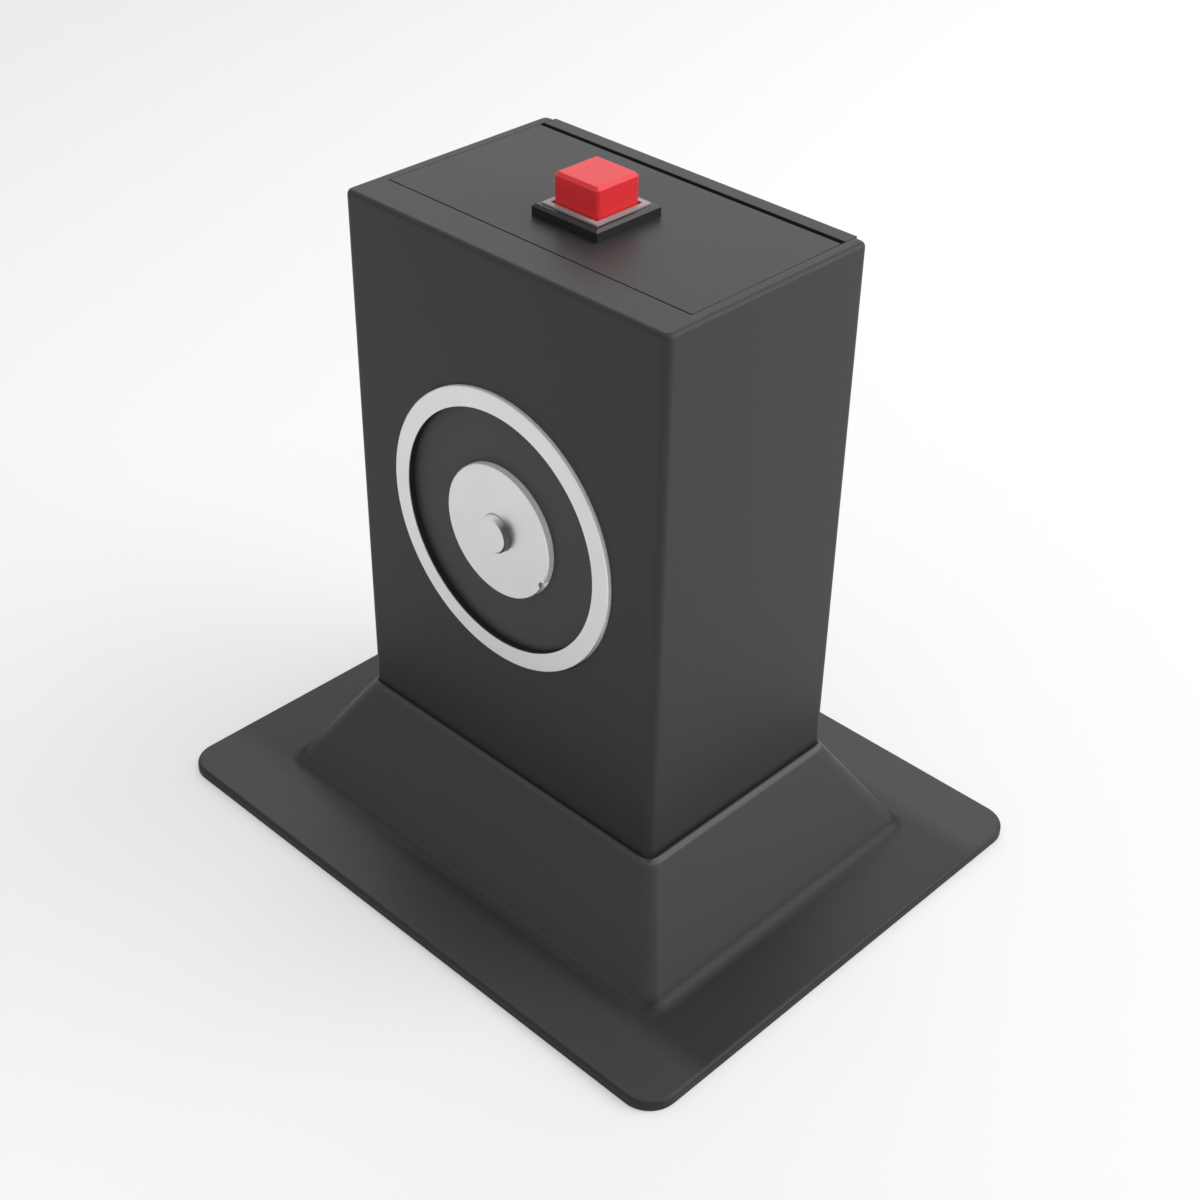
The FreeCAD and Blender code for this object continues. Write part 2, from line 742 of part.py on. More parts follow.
def magnet_bracket():
    """Folded steel bracket: foot, bend, upright with a round head and two gussets."""
    half = bracket_width / 2
    low = plate_thickness
    t = bracket_thickness
    outer = bracket_bend + t
    y1 = bracket_back_y
    bend_centre = (y1 - outer, low + outer)
    s = math.sqrt(0.5)
    p = [V(0, bracket_front_y, low), V(0, bend_centre[0], low), V(0, y1, bend_centre[1]), V(0, y1, magnet_height),
         V(0, pot_back_y, magnet_height), V(0, pot_back_y, bend_centre[1]), V(0, bend_centre[0], low + t),
         V(0, bracket_front_y, low + t)]
    outer_mid = V(0, bend_centre[0] + outer * s, bend_centre[1] - outer * s)
    inner_mid = V(0, bend_centre[0] + bracket_bend * s, bend_centre[1] - bracket_bend * s)
    edges = [Part.LineSegment(p[0], p[1]).toShape(), Part.Arc(p[1], outer_mid, p[2]).toShape(),
             Part.LineSegment(p[2], p[3]).toShape(), Part.LineSegment(p[3], p[4]).toShape(),
             Part.LineSegment(p[4], p[5]).toShape(), Part.Arc(p[5], inner_mid, p[6]).toShape(),
             Part.LineSegment(p[6], p[7]).toShape(), Part.LineSegment(p[7], p[0]).toShape()]
    body = Part.Face(Part.Wire(edges)).extrude(V(bracket_width, 0, 0))
    body.translate(V(-half, 0, 0))
    added = [bar(0, magnet_height, pot_back_y, bracket_back_y, half)]
    for x in (-half, half - t):
        corners = [V(x, bracket_front_y + t, low + t), V(x, bend_centre[0], low + t),
                   V(x, pot_back_y, bend_centre[1]), V(x, pot_back_y, bracket_gusset_top),
                   V(x, pot_back_y - t, bracket_gusset_top), V(x, bracket_front_y + t, low + 2 * t),
                   V(x, bracket_front_y + t, low + t)]
        added.append(Part.Face(Part.makePolygon(corners)).extrude(V(t, 0, 0)))
    body = fuse(body, *added)
    body = body.cut(bar(0, magnet_height, pot_back_y - over, bracket_back_y + over, bracket_pin_hole_radius))
    for x, z in magnet_screw_places():
        body = body.cut(bar(x, z, pot_back_y - over, bracket_back_y + over, m4_radius + clearance_m4))
    slot_x = lead_spacing / 2 + bracket_lead_slot
    body = body.cut(block(-slot_x, slot_x, pot_back_y - over, bracket_back_y + over,
                          lead_hole_z - bracket_lead_slot, lead_hole_z + bracket_lead_slot))
    for x, z in board_hole_places():
        body = body.cut(bar(x, z, pot_back_y - over, bracket_back_y + over, m25_radius))
    for x in (-bracket_bolt_x, bracket_bolt_x):
        body = body.cut(post(x, bracket_bolt_y, 0, low + t + over, m5_radius + clearance_m5))
    return body


def bracket_bolts():
    """Two hexagon bolts through the bracket's foot into the floor plate."""
    seat = plate_thickness + bracket_thickness + washer_thickness
    solids = []
    for x in (-bracket_bolt_x, bracket_bolt_x):
        head = hex_prism_z(x, bracket_bolt_y, seat, seat + bolt_head_height, bolt_head_radius)
        solids.append(fuse(head, post(x, bracket_bolt_y, thread_end, seat, m5_radius - thread_fit)))
    return Part.makeCompound(solids)


def bracket_washers():
    """Two washers under the bolts' heads."""
    seat = plate_thickness + bracket_thickness
    hole = m5_radius + clearance_m5
    return Part.makeCompound([post(x, bracket_bolt_y, seat, seat + washer_thickness, washer_radius).cut(
        post(x, bracket_bolt_y, seat, seat + washer_thickness, hole)) for x in (-bracket_bolt_x, bracket_bolt_x)])


def base_screws():
    """Four pan-head screws with a hexagon socket."""
    solids = []
    top = foot_top + base_screw_head_height
    for x, y in base_screw_places():
        head = post(x, y, foot_top, top, base_screw_head_radius)
        screw = fuse(head, post(x, y, thread_end, foot_top, m4_radius - thread_fit))
        depth = base_screw_head_height * socket_depth_share
        solids.append(screw.cut(hex_prism_z(x, y, top - depth, top, base_screw_head_radius * socket_share)))
    return Part.makeCompound(solids)


def magnet_screws():
    """Three cap screws from behind the bracket into the pot."""
    solids = []
    for x, z in magnet_screw_places():
        back = bracket_back_y + magnet_screw_head_height
        head = bar(x, z, bracket_back_y, back, magnet_screw_head_radius)
        screw = fuse(head, bar(x, z, pot_floor_y + 2 * thread_end, bracket_back_y, m4_radius - thread_fit))
        depth = magnet_screw_head_height * socket_depth_share
        solids.append(screw.cut(hex_prism_y(x, z, back - depth, back, magnet_screw_head_radius * socket_share)))
    return Part.makeCompound(solids)


def rear_cover_screws():
    """Four sunk screws with a hexagon socket."""
    solids = []
    shank = m3_radius - thread_fit
    depth = cover_screw_head_radius - shank
    for x, z in cover_screw_places():
        head = cone_y(x, z, half_d - depth, half_d, shank, cover_screw_head_radius)
        end = rear_inner_y - cover_boss_length + cover_boss_floor + thread_end
        screw = fuse(head, bar(x, z, end, half_d - depth, shank))
        solids.append(screw.cut(hex_prism_y(x, z, half_d - cover_socket_depth, half_d, shank * 2 * socket_share)))
    return Part.makeCompound(solids)


def square_ring(outer, inner, z0, z1):
    """Square frame round the button's axis, given by its widths."""
    a = outer / 2
    b = inner / 2
    body = block(-a, a, button_y - a, button_y + a, z0, z1)
    return body.cut(block(-b, b, button_y - b, button_y + b, z0, z1))


def button_cap():
    """Hollow square cap with a bevelled top."""
    a = cap_width / 2
    top = housing_top + cap_top
    body = block(-a, a, button_y - a, button_y + a, cap_bottom, top)
    body = body.makeFillet(cap_corner_radius, edges_near(body, lambda m, e: not is_level(e)))
    body = body.makeChamfer(cap_bevel, edges_near(body, lambda m, e: is_level(e) and abs(m.z - top) < same_place))
    b = a - cap_wall
    return body.cut(block(-b, b, button_y - b, button_y + b, cap_bottom, cap_roof_z))


def button_bezel():
    """Black frame round the button, bevelled along its upper edge."""
    top = housing_top + bezel_height
    a = bezel_width / 2
    body = block(-a, a, button_y - a, button_y + a, housing_top, top)
    body = body.makeChamfer(bezel_bevel, edges_near(body, lambda m, e: is_level(e) and abs(m.z - top) < same_place))
    b = collar_width / 2 + switch_fit
    return body.cut(block(-b, b, button_y - b, button_y + b, housing_top, top))


def switch_body():
    """Square switch body: collar round the cap, well, and a closed lower half."""
    a = collar_width / 2
    body = block(-a, a, button_y - a, button_y + a, switch_bottom, housing_top + collar_rise)
    b = cap_width / 2 + cap_gap
    body = body.cut(block(-b, b, button_y - b, button_y + b, well_bottom, housing_top + collar_rise))
    bore = plunger_radius + plunger_running_fit
    return body.cut(post(0, button_y, switch_bottom + plunger_end, well_bottom, bore))


def switch_plunger():
    """Stem under the cap that works the contacts."""
    low = switch_bottom + plunger_end + button_travel + thread_end
    return post(0, button_y, low, cap_roof_z, plunger_radius)


def switch_spring():
    """Coil spring between the cap's roof and the floor of the well."""
    coil = spring(switch_spring_radius, switch_spring_wire, cap_roof_z - well_bottom, switch_spring_turns)
    coil.translate(V(0, button_y, well_bottom))
    return coil


def switch_clip():
    """Square retaining frame pushed up the switch body under the panel."""
    return square_ring(switch_clip_width, collar_width, panel_bottom - switch_clip_thickness, panel_bottom)


def switch_blades():
    """Two flat terminals under the switch."""
    solids = []
    for x in (-blade_spacing / 2, blade_spacing / 2):
        solids.append(block(x - blade_width / 2, x + blade_width / 2, button_y - blade_thickness / 2,
                            button_y + blade_thickness / 2, blade_bottom, switch_bottom))
    return Part.makeCompound(solids)


def board_hole_places():
    """Corner holes of the circuit board, as x and z."""
    return four_places(board_width / 2 - board_hole_inset, board_bottom + board_hole_inset,
                       board_top - board_hole_inset)


def circuit_board():
    """Circuit board on its standoffs behind the bracket."""
    body = block(-board_width / 2, board_width / 2, board_y, board_rear_y, board_bottom, board_top)
    across = edges_near(body, lambda m, e: e.BoundBox.YLength > board_thickness / 2)
    body = body.makeFillet(board_corner_radius, across)
    for x, z in board_hole_places():
        body = body.cut(bar(x, z, board_y - over, board_rear_y + over, m25_radius + clearance_m25))
    return body


def board_standoffs():
    """Four threaded standoffs between bracket and board."""
    return Part.makeCompound([bar(x, z, bracket_back_y, board_y, standoff_radius).cut(
        bar(x, z, bracket_back_y, board_y, m25_radius)) for x, z in board_hole_places()])


def board_screws():
    """Four small pan-head screws."""
    solids = []
    for x, z in board_hole_places():
        top = board_rear_y + board_screw_head_height
        head = bar(x, z, board_rear_y, top, board_screw_head_radius)
        solids.append(fuse(head, bar(x, z, board_y - standoff_length / 2, board_rear_y, m25_radius - thread_fit)))
    return Part.makeCompound(solids)


def terminal_xs():
    """Middle of each pole of the terminal block."""
    first = -(terminal_poles - 1) / 2 * terminal_pitch
    return [first + i * terminal_pitch for i in range(terminal_poles)]


def terminal_block():
    """Terminal block with a wire entry below and a screw well behind for each pole."""
    half = terminal_poles * terminal_pitch / 2
    low = board_bottom + terminal_rise
    high = low + terminal_height
    rear = board_rear_y + terminal_depth
    points = [V(-half, board_rear_y, low), V(-half, rear - terminal_low_chamfer, low),
              V(-half, rear, low + terminal_low_rise), V(-half, rear, high - terminal_high_chamfer),
              V(-half, rear - terminal_high_chamfer, high), V(-half, board_rear_y, high),
              V(-half, board_rear_y, low)]
    body = Part.Face(Part.makePolygon(points)).extrude(V(2 * half, 0, 0))
    entry_y = board_rear_y + terminal_depth / 2 - terminal_entry_forward
    for x in terminal_xs():
        body = body.cut(block(x - terminal_entry / 2, x + terminal_entry / 2, entry_y - terminal_entry / 2,
                              entry_y + terminal_entry / 2, low, low + terminal_entry_depth))
        body = body.cut(bar(x, terminal_screw_z(), rear - terminal_screw_length - terminal_screw_sink, rear,
                            terminal_screw_radius + terminal_screw_fit))
    return body


def terminal_screw_z():
    """Height of the terminal screws."""
    return board_bottom + terminal_rise + terminal_height * terminal_screw_share


def terminal_screws():
    """Slotted clamping screws of the terminal block."""
    solids = []
    rear = board_rear_y + terminal_depth - terminal_screw_sink
    z = terminal_screw_z()
    for x in terminal_xs():
        screw = bar(x, z, rear - terminal_screw_length, rear, terminal_screw_radius)
        slot = block(x - terminal_screw_radius, x + terminal_screw_radius, rear - terminal_slot_depth, rear,
                     z - terminal_slot_width / 2, z + terminal_slot_width / 2)
        solids.append(screw.cut(slot))
    return Part.makeCompound(solids)


def suppression_diode():
    """Diode across the coil, lying on its bent leads."""
    z = board_bottom + board_height / 2 + terminal_rise
    y = board_rear_y + diode_radius + diode_clearance
    body = Part.makeCylinder(diode_radius, diode_length, V(-diode_length / 2, y, z), X_AXIS)
    half = diode_lead_span / 2
    lead = Part.makeCylinder(diode_lead_radius, diode_lead_span, V(-half, y, z), X_AXIS)
    legs = [bar(x, z, board_rear_y, y, diode_lead_radius) for x in (-half, half)]
    tips = [Part.makeSphere(diode_lead_radius, V(x, y, z)) for x in (-half, half)]
    return fuse(body, lead, *legs, *tips)


def switch_plug():
    """Small connector on the board for the switch leads."""
    half = plug_width / 2
    return block(plug_x - half, plug_x + half, board_rear_y, board_rear_y + plug_depth,
                 plug_top - plug_height, plug_top)


def switch_leads():
    """Two insulated wires from the switch blades down to the plug."""
    solids = []
    start_y = button_y + blade_thickness / 2
    start_z = blade_bottom + switch_lead_rise
    for side in (-1, 1):
        x0 = side * blade_spacing / 2
        x1 = plug_x + side * plug_pitch / 2
        far_y = plug_mid_y
        solids.append(soft_lead([(x0, start_y, start_z), (x0, start_y + switch_lead_out, start_z),
                                 (x0 + (x1 - x0) * switch_lead_share, far_y, start_z - switch_lead_drop),
                                 (x1, far_y, start_z - switch_lead_turn), (x1, far_y, plug_top)], lead_radius))
    return Part.makeCompound(solids)


def magnet_leads():
    """Two stiff wires from the coil, straight through pot and bracket to the board."""
    start = pot_floor_y - bobbin_flange
    return Part.makeCompound([bar(x, lead_hole_z, start, board_y, lead_radius)
                              for x in (-lead_spacing / 2, lead_spacing / 2)])


PIECES = {
    "plinth": plinth,
    "floor_plate": floor_plate,
    "housing_shell": housing_shell,
    "top_panel": top_panel,
    "rear_cover": rear_cover,
    "rear_cover_screws": rear_cover_screws,
    "base_screws": base_screws,
    "magnet_bracket": magnet_bracket,
    "bracket_bolts": bracket_bolts,
    "bracket_washers": bracket_washers,
    "magnet_pot": magnet_pot,
    "magnet_core": magnet_core,
    "magnet_screws": magnet_screws,
    "coil_bobbin": coil_bobbin,
    "coil_winding": coil_winding,
    "potting_ring": potting_ring,
    "ejector_pin": ejector_pin,
    "ejector_clip": ejector_clip,
    "ejector_spring": ejector_spring,
    "button_cap": button_cap,
    "button_bezel": button_bezel,
    "switch_body": switch_body,
    "switch_plunger": switch_plunger,
    "switch_spring": switch_spring,
    "switch_clip": switch_clip,
    "switch_blades": switch_blades,
    "switch_leads": switch_leads,
    "switch_plug": switch_plug,
    "circuit_board": circuit_board,
    "board_standoffs": board_standoffs,
    "board_screws": board_screws,
    "terminal_block": terminal_block,
    "terminal_screws": terminal_screws,
    "suppression_diode": suppression_diode,
    "magnet_leads": magnet_leads,
}

os.makedirs("parts", exist_ok=True)
for name, make in PIECES.items():
    shape = make()
    shape.exportStep("parts/" + name + ".step")
    print(name, len(shape.Solids), "solids", shape.isValid(), round(shape.Volume / 1000, 2), "cm3")
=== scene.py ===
"""Looks of a floor-standing electromagnetic door holder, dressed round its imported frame.

Metres, +Z up, the magnet faces -Y, origin on the floor under the middle of the plinth. Patterns are
worked out in millimetres from Object coordinates, which are the frame's own.
"""
import json
import logging
import math
from dataclasses import dataclass, field
from enum import Enum

import bpy
from mathutils import Matrix, Vector


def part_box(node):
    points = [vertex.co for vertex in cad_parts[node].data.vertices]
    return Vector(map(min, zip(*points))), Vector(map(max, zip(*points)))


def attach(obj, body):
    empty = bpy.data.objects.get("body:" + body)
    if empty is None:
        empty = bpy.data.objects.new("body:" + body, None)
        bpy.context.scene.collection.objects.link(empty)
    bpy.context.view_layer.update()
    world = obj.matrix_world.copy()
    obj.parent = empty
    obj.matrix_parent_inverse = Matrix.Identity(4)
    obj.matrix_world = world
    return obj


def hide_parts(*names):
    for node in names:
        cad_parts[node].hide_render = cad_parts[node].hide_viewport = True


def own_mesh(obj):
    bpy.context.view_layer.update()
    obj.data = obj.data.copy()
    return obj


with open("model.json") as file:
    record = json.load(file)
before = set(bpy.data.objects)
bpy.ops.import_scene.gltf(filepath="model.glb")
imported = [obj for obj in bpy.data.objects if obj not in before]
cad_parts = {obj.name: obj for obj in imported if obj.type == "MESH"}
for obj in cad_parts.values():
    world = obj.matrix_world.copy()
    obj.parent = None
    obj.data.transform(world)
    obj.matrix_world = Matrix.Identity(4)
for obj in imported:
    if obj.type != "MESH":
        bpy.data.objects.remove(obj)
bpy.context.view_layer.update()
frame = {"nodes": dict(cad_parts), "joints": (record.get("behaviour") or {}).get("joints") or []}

MM = 0.001
LOG = logging.getLogger("door_holder")


class Slot(Enum):
    """The record's material slots."""

    HOUSING = "housing_moulding"
    POLE = "pole_steel"
    ZINC = "plated_steel"
    BLACK_STEEL = "black_steel"
    SPRING = "spring_steel"
    POTTING = "potting_resin"
    BOBBIN = "bobbin_plastic"
    COPPER = "copper_wire"
    RED = "button_red"
    BEZEL = "bezel_black"
    SWITCH = "switch_grey"
    BRASS = "contact_brass"
    BOARD = "board_green"
    TERMINAL = "terminal_green"
    PLUG = "plug_white"
    DIODE = "diode_black"
    SLEEVING = "wire_insulation"


class Maths:
    """A number that varies over a surface: expressions on it add Math nodes."""

    def __init__(self, tree: bpy.types.NodeTree, socket: bpy.types.NodeSocket) -> None:
        """Wraps one output socket of a node tree."""
        self.tree = tree
        self.socket = socket

    def _node(self, operation: str, first: "Maths | float", second: "Maths | float" = 0.0) -> "Maths":
        """Adds one Math node.

        Args:
            operation: the Math node's operation.
            first: its first value.
            second: its second value.

        Returns:
            The node's result.
        """
        maths = self.tree.nodes.new("ShaderNodeMath")
        maths.operation = operation
        for place, value in enumerate((first, second)):
            if isinstance(value, Maths):
                self.tree.links.new(value.socket, maths.inputs[place])
            else:
                maths.inputs[place].default_value = value
        return Maths(self.tree, maths.outputs[0])

    def __add__(self, other: "Maths | float") -> "Maths":
        """self + other."""
        return self._node("ADD", self, other)

    __radd__ = __add__

    def __sub__(self, other: "Maths | float") -> "Maths":
        """self - other."""
        return self._node("SUBTRACT", self, other)

    def __rsub__(self, other: "Maths | float") -> "Maths":
        """other - self."""
        return self._node("SUBTRACT", other, self)

    def __mul__(self, other: "Maths | float") -> "Maths":
        """self * other."""
        return self._node("MULTIPLY", self, other)

    __rmul__ = __mul__

    def __truediv__(self, other: "Maths | float") -> "Maths":
        """self / other."""
        return self._node("DIVIDE", self, other)

    def __gt__(self, other: "Maths | float") -> "Maths":
        """1 where self is above other, else 0."""
        return self._node("GREATER_THAN", self, other)

    def __lt__(self, other: "Maths | float") -> "Maths":
        """1 where self is below other, else 0."""
        return self._node("LESS_THAN", self, other)

    def __pow__(self, other: float) -> "Maths":
        """self to the power other."""
        return self._node("POWER", self, other)

    def __abs__(self) -> "Maths":
        """The size of self."""
        return self._node("ABSOLUTE", self)

    def ramp(self, start: float, end: float) -> "Maths":
        """0 at start and 1 at end, straight between them and level beyond.

        Args:
            start: where the ramp is 0.
            end: where it reaches 1.

        Returns:
            The ramp.
        """
        share = (self - start) / (end - start)
        share.socket.node.use_clamp = True
        return share

    def wave(self) -> "Maths":
        """The sine of self, in radians."""
        return self._node("SINE", self)


@dataclass
class Spot:
    """A point of the surface, in millimetres, as three numbers and as a vector socket."""

    x: Maths
    y: Maths
    z: Maths
    vector: bpy.types.NodeSocket


class Recipe:
    """The node tree of one material, with a Principled shader on its output."""

    def __init__(self, name: str) -> None:
        """Starts an empty material.

        Args:
            name: the material's name.
        """
        self.material = bpy.data.materials.new(name)
        self.material.use_nodes = True
        self.tree = self.material.node_tree
        self.tree.nodes.clear()
        self.shader = self.node("ShaderNodeBsdfPrincipled")
        self.node("ShaderNodeOutputMaterial", inputs={"Surface": self.shader.outputs["BSDF"]})

    def node(self, kind: str, settings: dict | None = None, inputs: dict | None = None) -> bpy.types.Node:
        """Adds a node, sets it up and then fills its sockets.

        Args:
            kind: the node's type.
            settings: properties that are set first.
            inputs: values, sockets or Maths for its input sockets, by name or number.

        Returns:
            The new node.
        """
        made = self.tree.nodes.new(kind)
        for name, value in (settings or {}).items():
            setattr(made, name, value)
        for name, value in (inputs or {}).items():
            self.feed(made.inputs[name], value)
        return made

    def feed(self, socket: bpy.types.NodeSocket, value: object) -> None:
        """Links a socket or Maths to an input, or sets its value.

        Args:
            socket: the input.
            value: what it gets.
        """
        if isinstance(value, Maths):
            self.tree.links.new(value.socket, socket)
        elif isinstance(value, bpy.types.NodeSocket):
            self.tree.links.new(value, socket)
        else:
            socket.default_value = value

    def set(self, **values: object) -> None:
        """Feeds the shader's sockets, named with _ for each space."""
        for name, value in values.items():
            self.feed(self.shader.inputs[name.replace("_", " ").title().replace("Ior", "IOR")], value)

    def spot(self) -> Spot:
        """The point of the surface in millimetres.

        Returns:
            Its coordinates and their vector.
        """
        where = self.node("ShaderNodeTexCoord").outputs["Object"]
        scaled = self.node("ShaderNodeVectorMath", {"operation": "SCALE"}, {0: where, "Scale": 1 / MM})
        split = self.node("ShaderNodeSeparateXYZ", inputs={0: scaled.outputs[0]})
        x, y, z = (Maths(self.tree, split.outputs[axis]) for axis in "XYZ")
        return Spot(x, y, z, scaled.outputs[0])

    def noise(self, spot: Spot, grain: float, detail: float = 2.0) -> Maths:
        """Noise from 0 to 1.

        Args:
            spot: the point of the surface.
            grain: size of its features in millimetres.
            detail: how many finer layers it has.

        Returns:
            The noise.
        """
        made = self.node("ShaderNodeTexNoise",
                         inputs={"Vector": spot.vector, "Scale": 1 / grain, "Detail": detail})
        return Maths(self.tree, made.outputs["Fac"])

    def blend(self, share: Maths, low: object, high: object) -> bpy.types.NodeSocket:
        """Mixes two colours.

        Args:
            share: 0 for the first, 1 for the second.
            low: the first colour, as three numbers or a socket.
            high: the second colour, likewise.

        Returns:
            The mixed colour.
        """
        mix = self.node("ShaderNodeMix", {"data_type": "RGBA"})
        self.feed(mix.inputs[0], share)
        for socket, colour in ((mix.inputs[6], low), (mix.inputs[7], high)):
            self.feed(socket, (*colour, 1.0) if isinstance(colour, tuple) else colour)
        return mix.outputs[2]

    def relief(self, height: Maths, depth: float) -> None:
        """Gives the shader a bump.

        Args:
            height: 0 to 1 over the surface.
            depth: the real height of 1, in millimetres.
        """
        bump = self.node("ShaderNodeBump", inputs={"Strength": 1.0, "Distance": depth * MM, "Height": height})
        self.set(normal=bump.outputs[0])


def shade(colour: tuple, factor: float) -> tuple:
    """A colour made lighter or darker by a factor."""
    return tuple(min(1.0, part * factor) for part in colour)


@dataclass(frozen=True)
class Finish:
    """A surface finish. Subclasses paint it."""

    name: str
    colour: tuple
    roughness: float = 0.4

    def material(self) -> bpy.types.Material:
        """The finish as a material.

        Returns:
            The material.
        """
        recipe = Recipe(self.name)
        self.paint(recipe)
        return recipe.material

    def paint(self, recipe: Recipe) -> None:
        """Builds the nodes of the finish."""
        raise NotImplementedError


@dataclass(frozen=True)
class MouldedPlastic(Finish):
    """Moulded plastic with a fine spark-eroded grain and a faint unevenness."""

    grain: float = 0.32
    depth: float = 0.012
    cloud: float = 22.0
    mottle: float = 0.05
    sheen_level: float = 0.5

    def paint(self, recipe: Recipe) -> None:
        """Grain as bump and roughness, slow unevenness in the colour.

        Args:
            recipe: the material's node tree.
        """
        spot = recipe.spot()
        fine = recipe.noise(spot, self.grain)
        slow = recipe.noise(spot, self.cloud, 3.0)
        colour = recipe.blend(slow, shade(self.colour, 1 - self.mottle), shade(self.colour, 1 + self.mottle))
        recipe.set(base_color=self.tone(recipe, spot, colour), specular_ior_level=self.sheen_level,
                   roughness=fine * 0.10 + slow * 0.06 + (self.roughness - 0.08))
        recipe.relief(fine, self.depth)

    def tone(self, recipe: Recipe, spot: Spot, colour: bpy.types.NodeSocket) -> bpy.types.NodeSocket:
        """The colour, with any painted highlight and shade laid on it."""
        return colour


@dataclass(frozen=True, kw_only=True)
class HousingPlastic(MouldedPlastic):
    """The moulding of plinth and housing: a painted highlight on the rim, painted light on the flange and
    long slopes, painted shade in the seam, folds, short slopes and edge.

    Sizes are in millimetres. housing_x and housing_y are halves, from the middle to the housing's faces,
    and lean_x and lean_y say how far the slopes go outwards for each millimetre down. A fade is a pair of
    heights or distances, where a mark starts to show and where it is full.
    """

    housing_x: float
    housing_y: float
    rim_z: float
    rim_land: float = 0.6
    lean_x: float = 0.605
    lean_y: float = 0.600
    flange_z: float = 2.0
    gap: float = 0.1
    corner: float = 0.3
    hair: float = 0.02
    # painted highlight along the plinth rim's edge: its colour, its strength on the long sides and its fade
    rim_highlight_colour: tuple = (0.085, 0.085, 0.086)
    rim_highlight_long_side: float = 0.4
    rim_highlight_fade: tuple = (1.1, 0.7)
    # painted light on the flange and the long slopes: its colour, strengths and fades
    painted_light_colour: tuple = (0.054, 0.054, 0.055)
    painted_light_slope: float = 0.45
    painted_light_top: float = 0.6
    flange_fade: tuple = (-1.0, 4.0)
    long_slope_fade: tuple = (-2.5, -1.0)
    # colour of the painted shade in the seam, on the short slopes, in the folds and on the flange's edge
    painted_shade_colour: tuple = (0.006, 0.006, 0.006)
    # strengths and fade of the painted shade in the seam at the housing's foot
    seam_shade_short_side: float = 0.9
    seam_shade_long_side: float = 0.4
    seam_shade_fade: tuple = (-1.9, -0.7)
    # strengths of the painted shade on the short slopes, in the folds and on the flange's edge
    shade_slope: float = 0.2
    shade_fold: float = 0.15
    shade_short_fold: float = 0.65
    shade_edge: float = 0.7
    short_slope_fade: tuple = (-3.0, -0.8)
    slope_foot_fade: tuple = (0.2, 1.0)
    slope_top_fade: tuple = (0.9, 1.3)
    fold_foot_fade: tuple = (0.01, 0.3)
    fold_top_fade: tuple = (2.4, 1.0)
    edge_fade: tuple = (0.0, -0.1)

    def foot(self, housing: float, lean: float) -> float:
        """How far out a slope's plane meets the floor.

        Args:
            housing: half the housing's size, in the slope's direction.
            lean: the slope's lean.

        Returns:
            The distance from the middle.
        """
        return housing + self.rim_land + self.rim_z * lean

    def tone(self, recipe: Recipe, spot: Spot, colour: bpy.types.NodeSocket) -> bpy.types.NodeSocket:
        """Painted highlight on the rim, painted light on the long slopes and the flange, painted shade in the
        seam, the folds, the short slopes and the edge.

        Args:
            recipe: the material's node tree.
            spot: the point of the surface.
            colour: the plain colour.

        Returns:
            The colour with its painted highlight, light and shade.
        """
        above_flange = spot.z - self.flange_z
        below_rim = self.rim_z - spot.z
        # painted highlight on the rim's edge
        rim_highlighted = recipe.blend(self.painted_rim_highlight(spot, below_rim), colour, self.rim_highlight_colour)
        # painted light on the flange and the long slopes
        flange_lit = recipe.blend(self.painted_flange_light(spot, above_flange, below_rim), rim_highlighted, self.painted_light_colour)
        # painted shade on the short slopes, in the folds and on the flange's edge
        folds_shaded = recipe.blend(self.painted_fold_shade(spot, above_flange, below_rim), flange_lit, self.painted_shade_colour)
        # painted shade in the seam at the housing's foot
        return recipe.blend(self.painted_seam_shade(spot, below_rim), folds_shaded, self.painted_shade_colour)

    def painted_rim_highlight(self, spot: Spot, below_rim: Maths) -> Maths:
        """Where the rim's painted highlight lies: 1 on the rim's edge at its short sides, and less at its
        long ones.

        Args:
            spot: the point of the surface.
            below_rim: its depth below the rim.

        Returns:
            The share of the painted highlight's colour.
        """
        short_side = abs(spot.x) > (self.housing_x + self.gap)
        long_side = abs(spot.y) > (self.housing_y + self.gap)
        band = below_rim.ramp(*self.rim_highlight_fade) * (below_rim > -self.hair)
        return (short_side + long_side * self.rim_highlight_long_side) * band

    def painted_flange_light(self, spot: Spot, above_flange: Maths, below_rim: Maths) -> Maths:
        """Where painted light lies: 1 on the flange in front of and behind the slopes, and less on the long
        slopes themselves.

        Args:
            spot: the point of the surface.
            above_flange: its height above the flange.
            below_rim: its depth below the rim.

        Returns:
            The share of the painted light's colour.
        """
        foot = self.foot(self.housing_y, self.lean_y)
        low = above_flange < self.painted_light_top
        flange = (abs(spot.y) - foot).ramp(*self.flange_fade) * low
        off_plane = abs(spot.y) + spot.z * self.lean_y - foot
        slope = off_plane.ramp(*self.long_slope_fade) * (below_rim > -self.hair) * (1 - low)
        return flange + slope * self.painted_light_slope

    def painted_fold_shade(self, spot: Spot, above_flange: Maths, below_rim: Maths) -> Maths:
        """How much painted shade lies on the short slopes, in the fold at the slopes' foot and on the
        flange's edge.

        Args:
            spot: the point of the surface.
            above_flange: its height above the flange.
            below_rim: its depth below the rim.

        Returns:
            The share of the painted shade's colour.
        """
        foot = self.foot(self.housing_x, self.lean_x)
        short_side = (abs(spot.x) + spot.z * self.lean_x - foot).ramp(*self.short_slope_fade)
        slope = above_flange.ramp(*self.slope_foot_fade) * below_rim.ramp(*self.slope_top_fade) * short_side
        fold = above_flange.ramp(*self.fold_foot_fade) * above_flange.ramp(*self.fold_top_fade)
        folds = fold * (short_side * (self.shade_short_fold - self.shade_fold) + self.shade_fold)
        edge = above_flange.ramp(*self.edge_fade)
        return slope * self.shade_slope + folds + edge * self.shade_edge

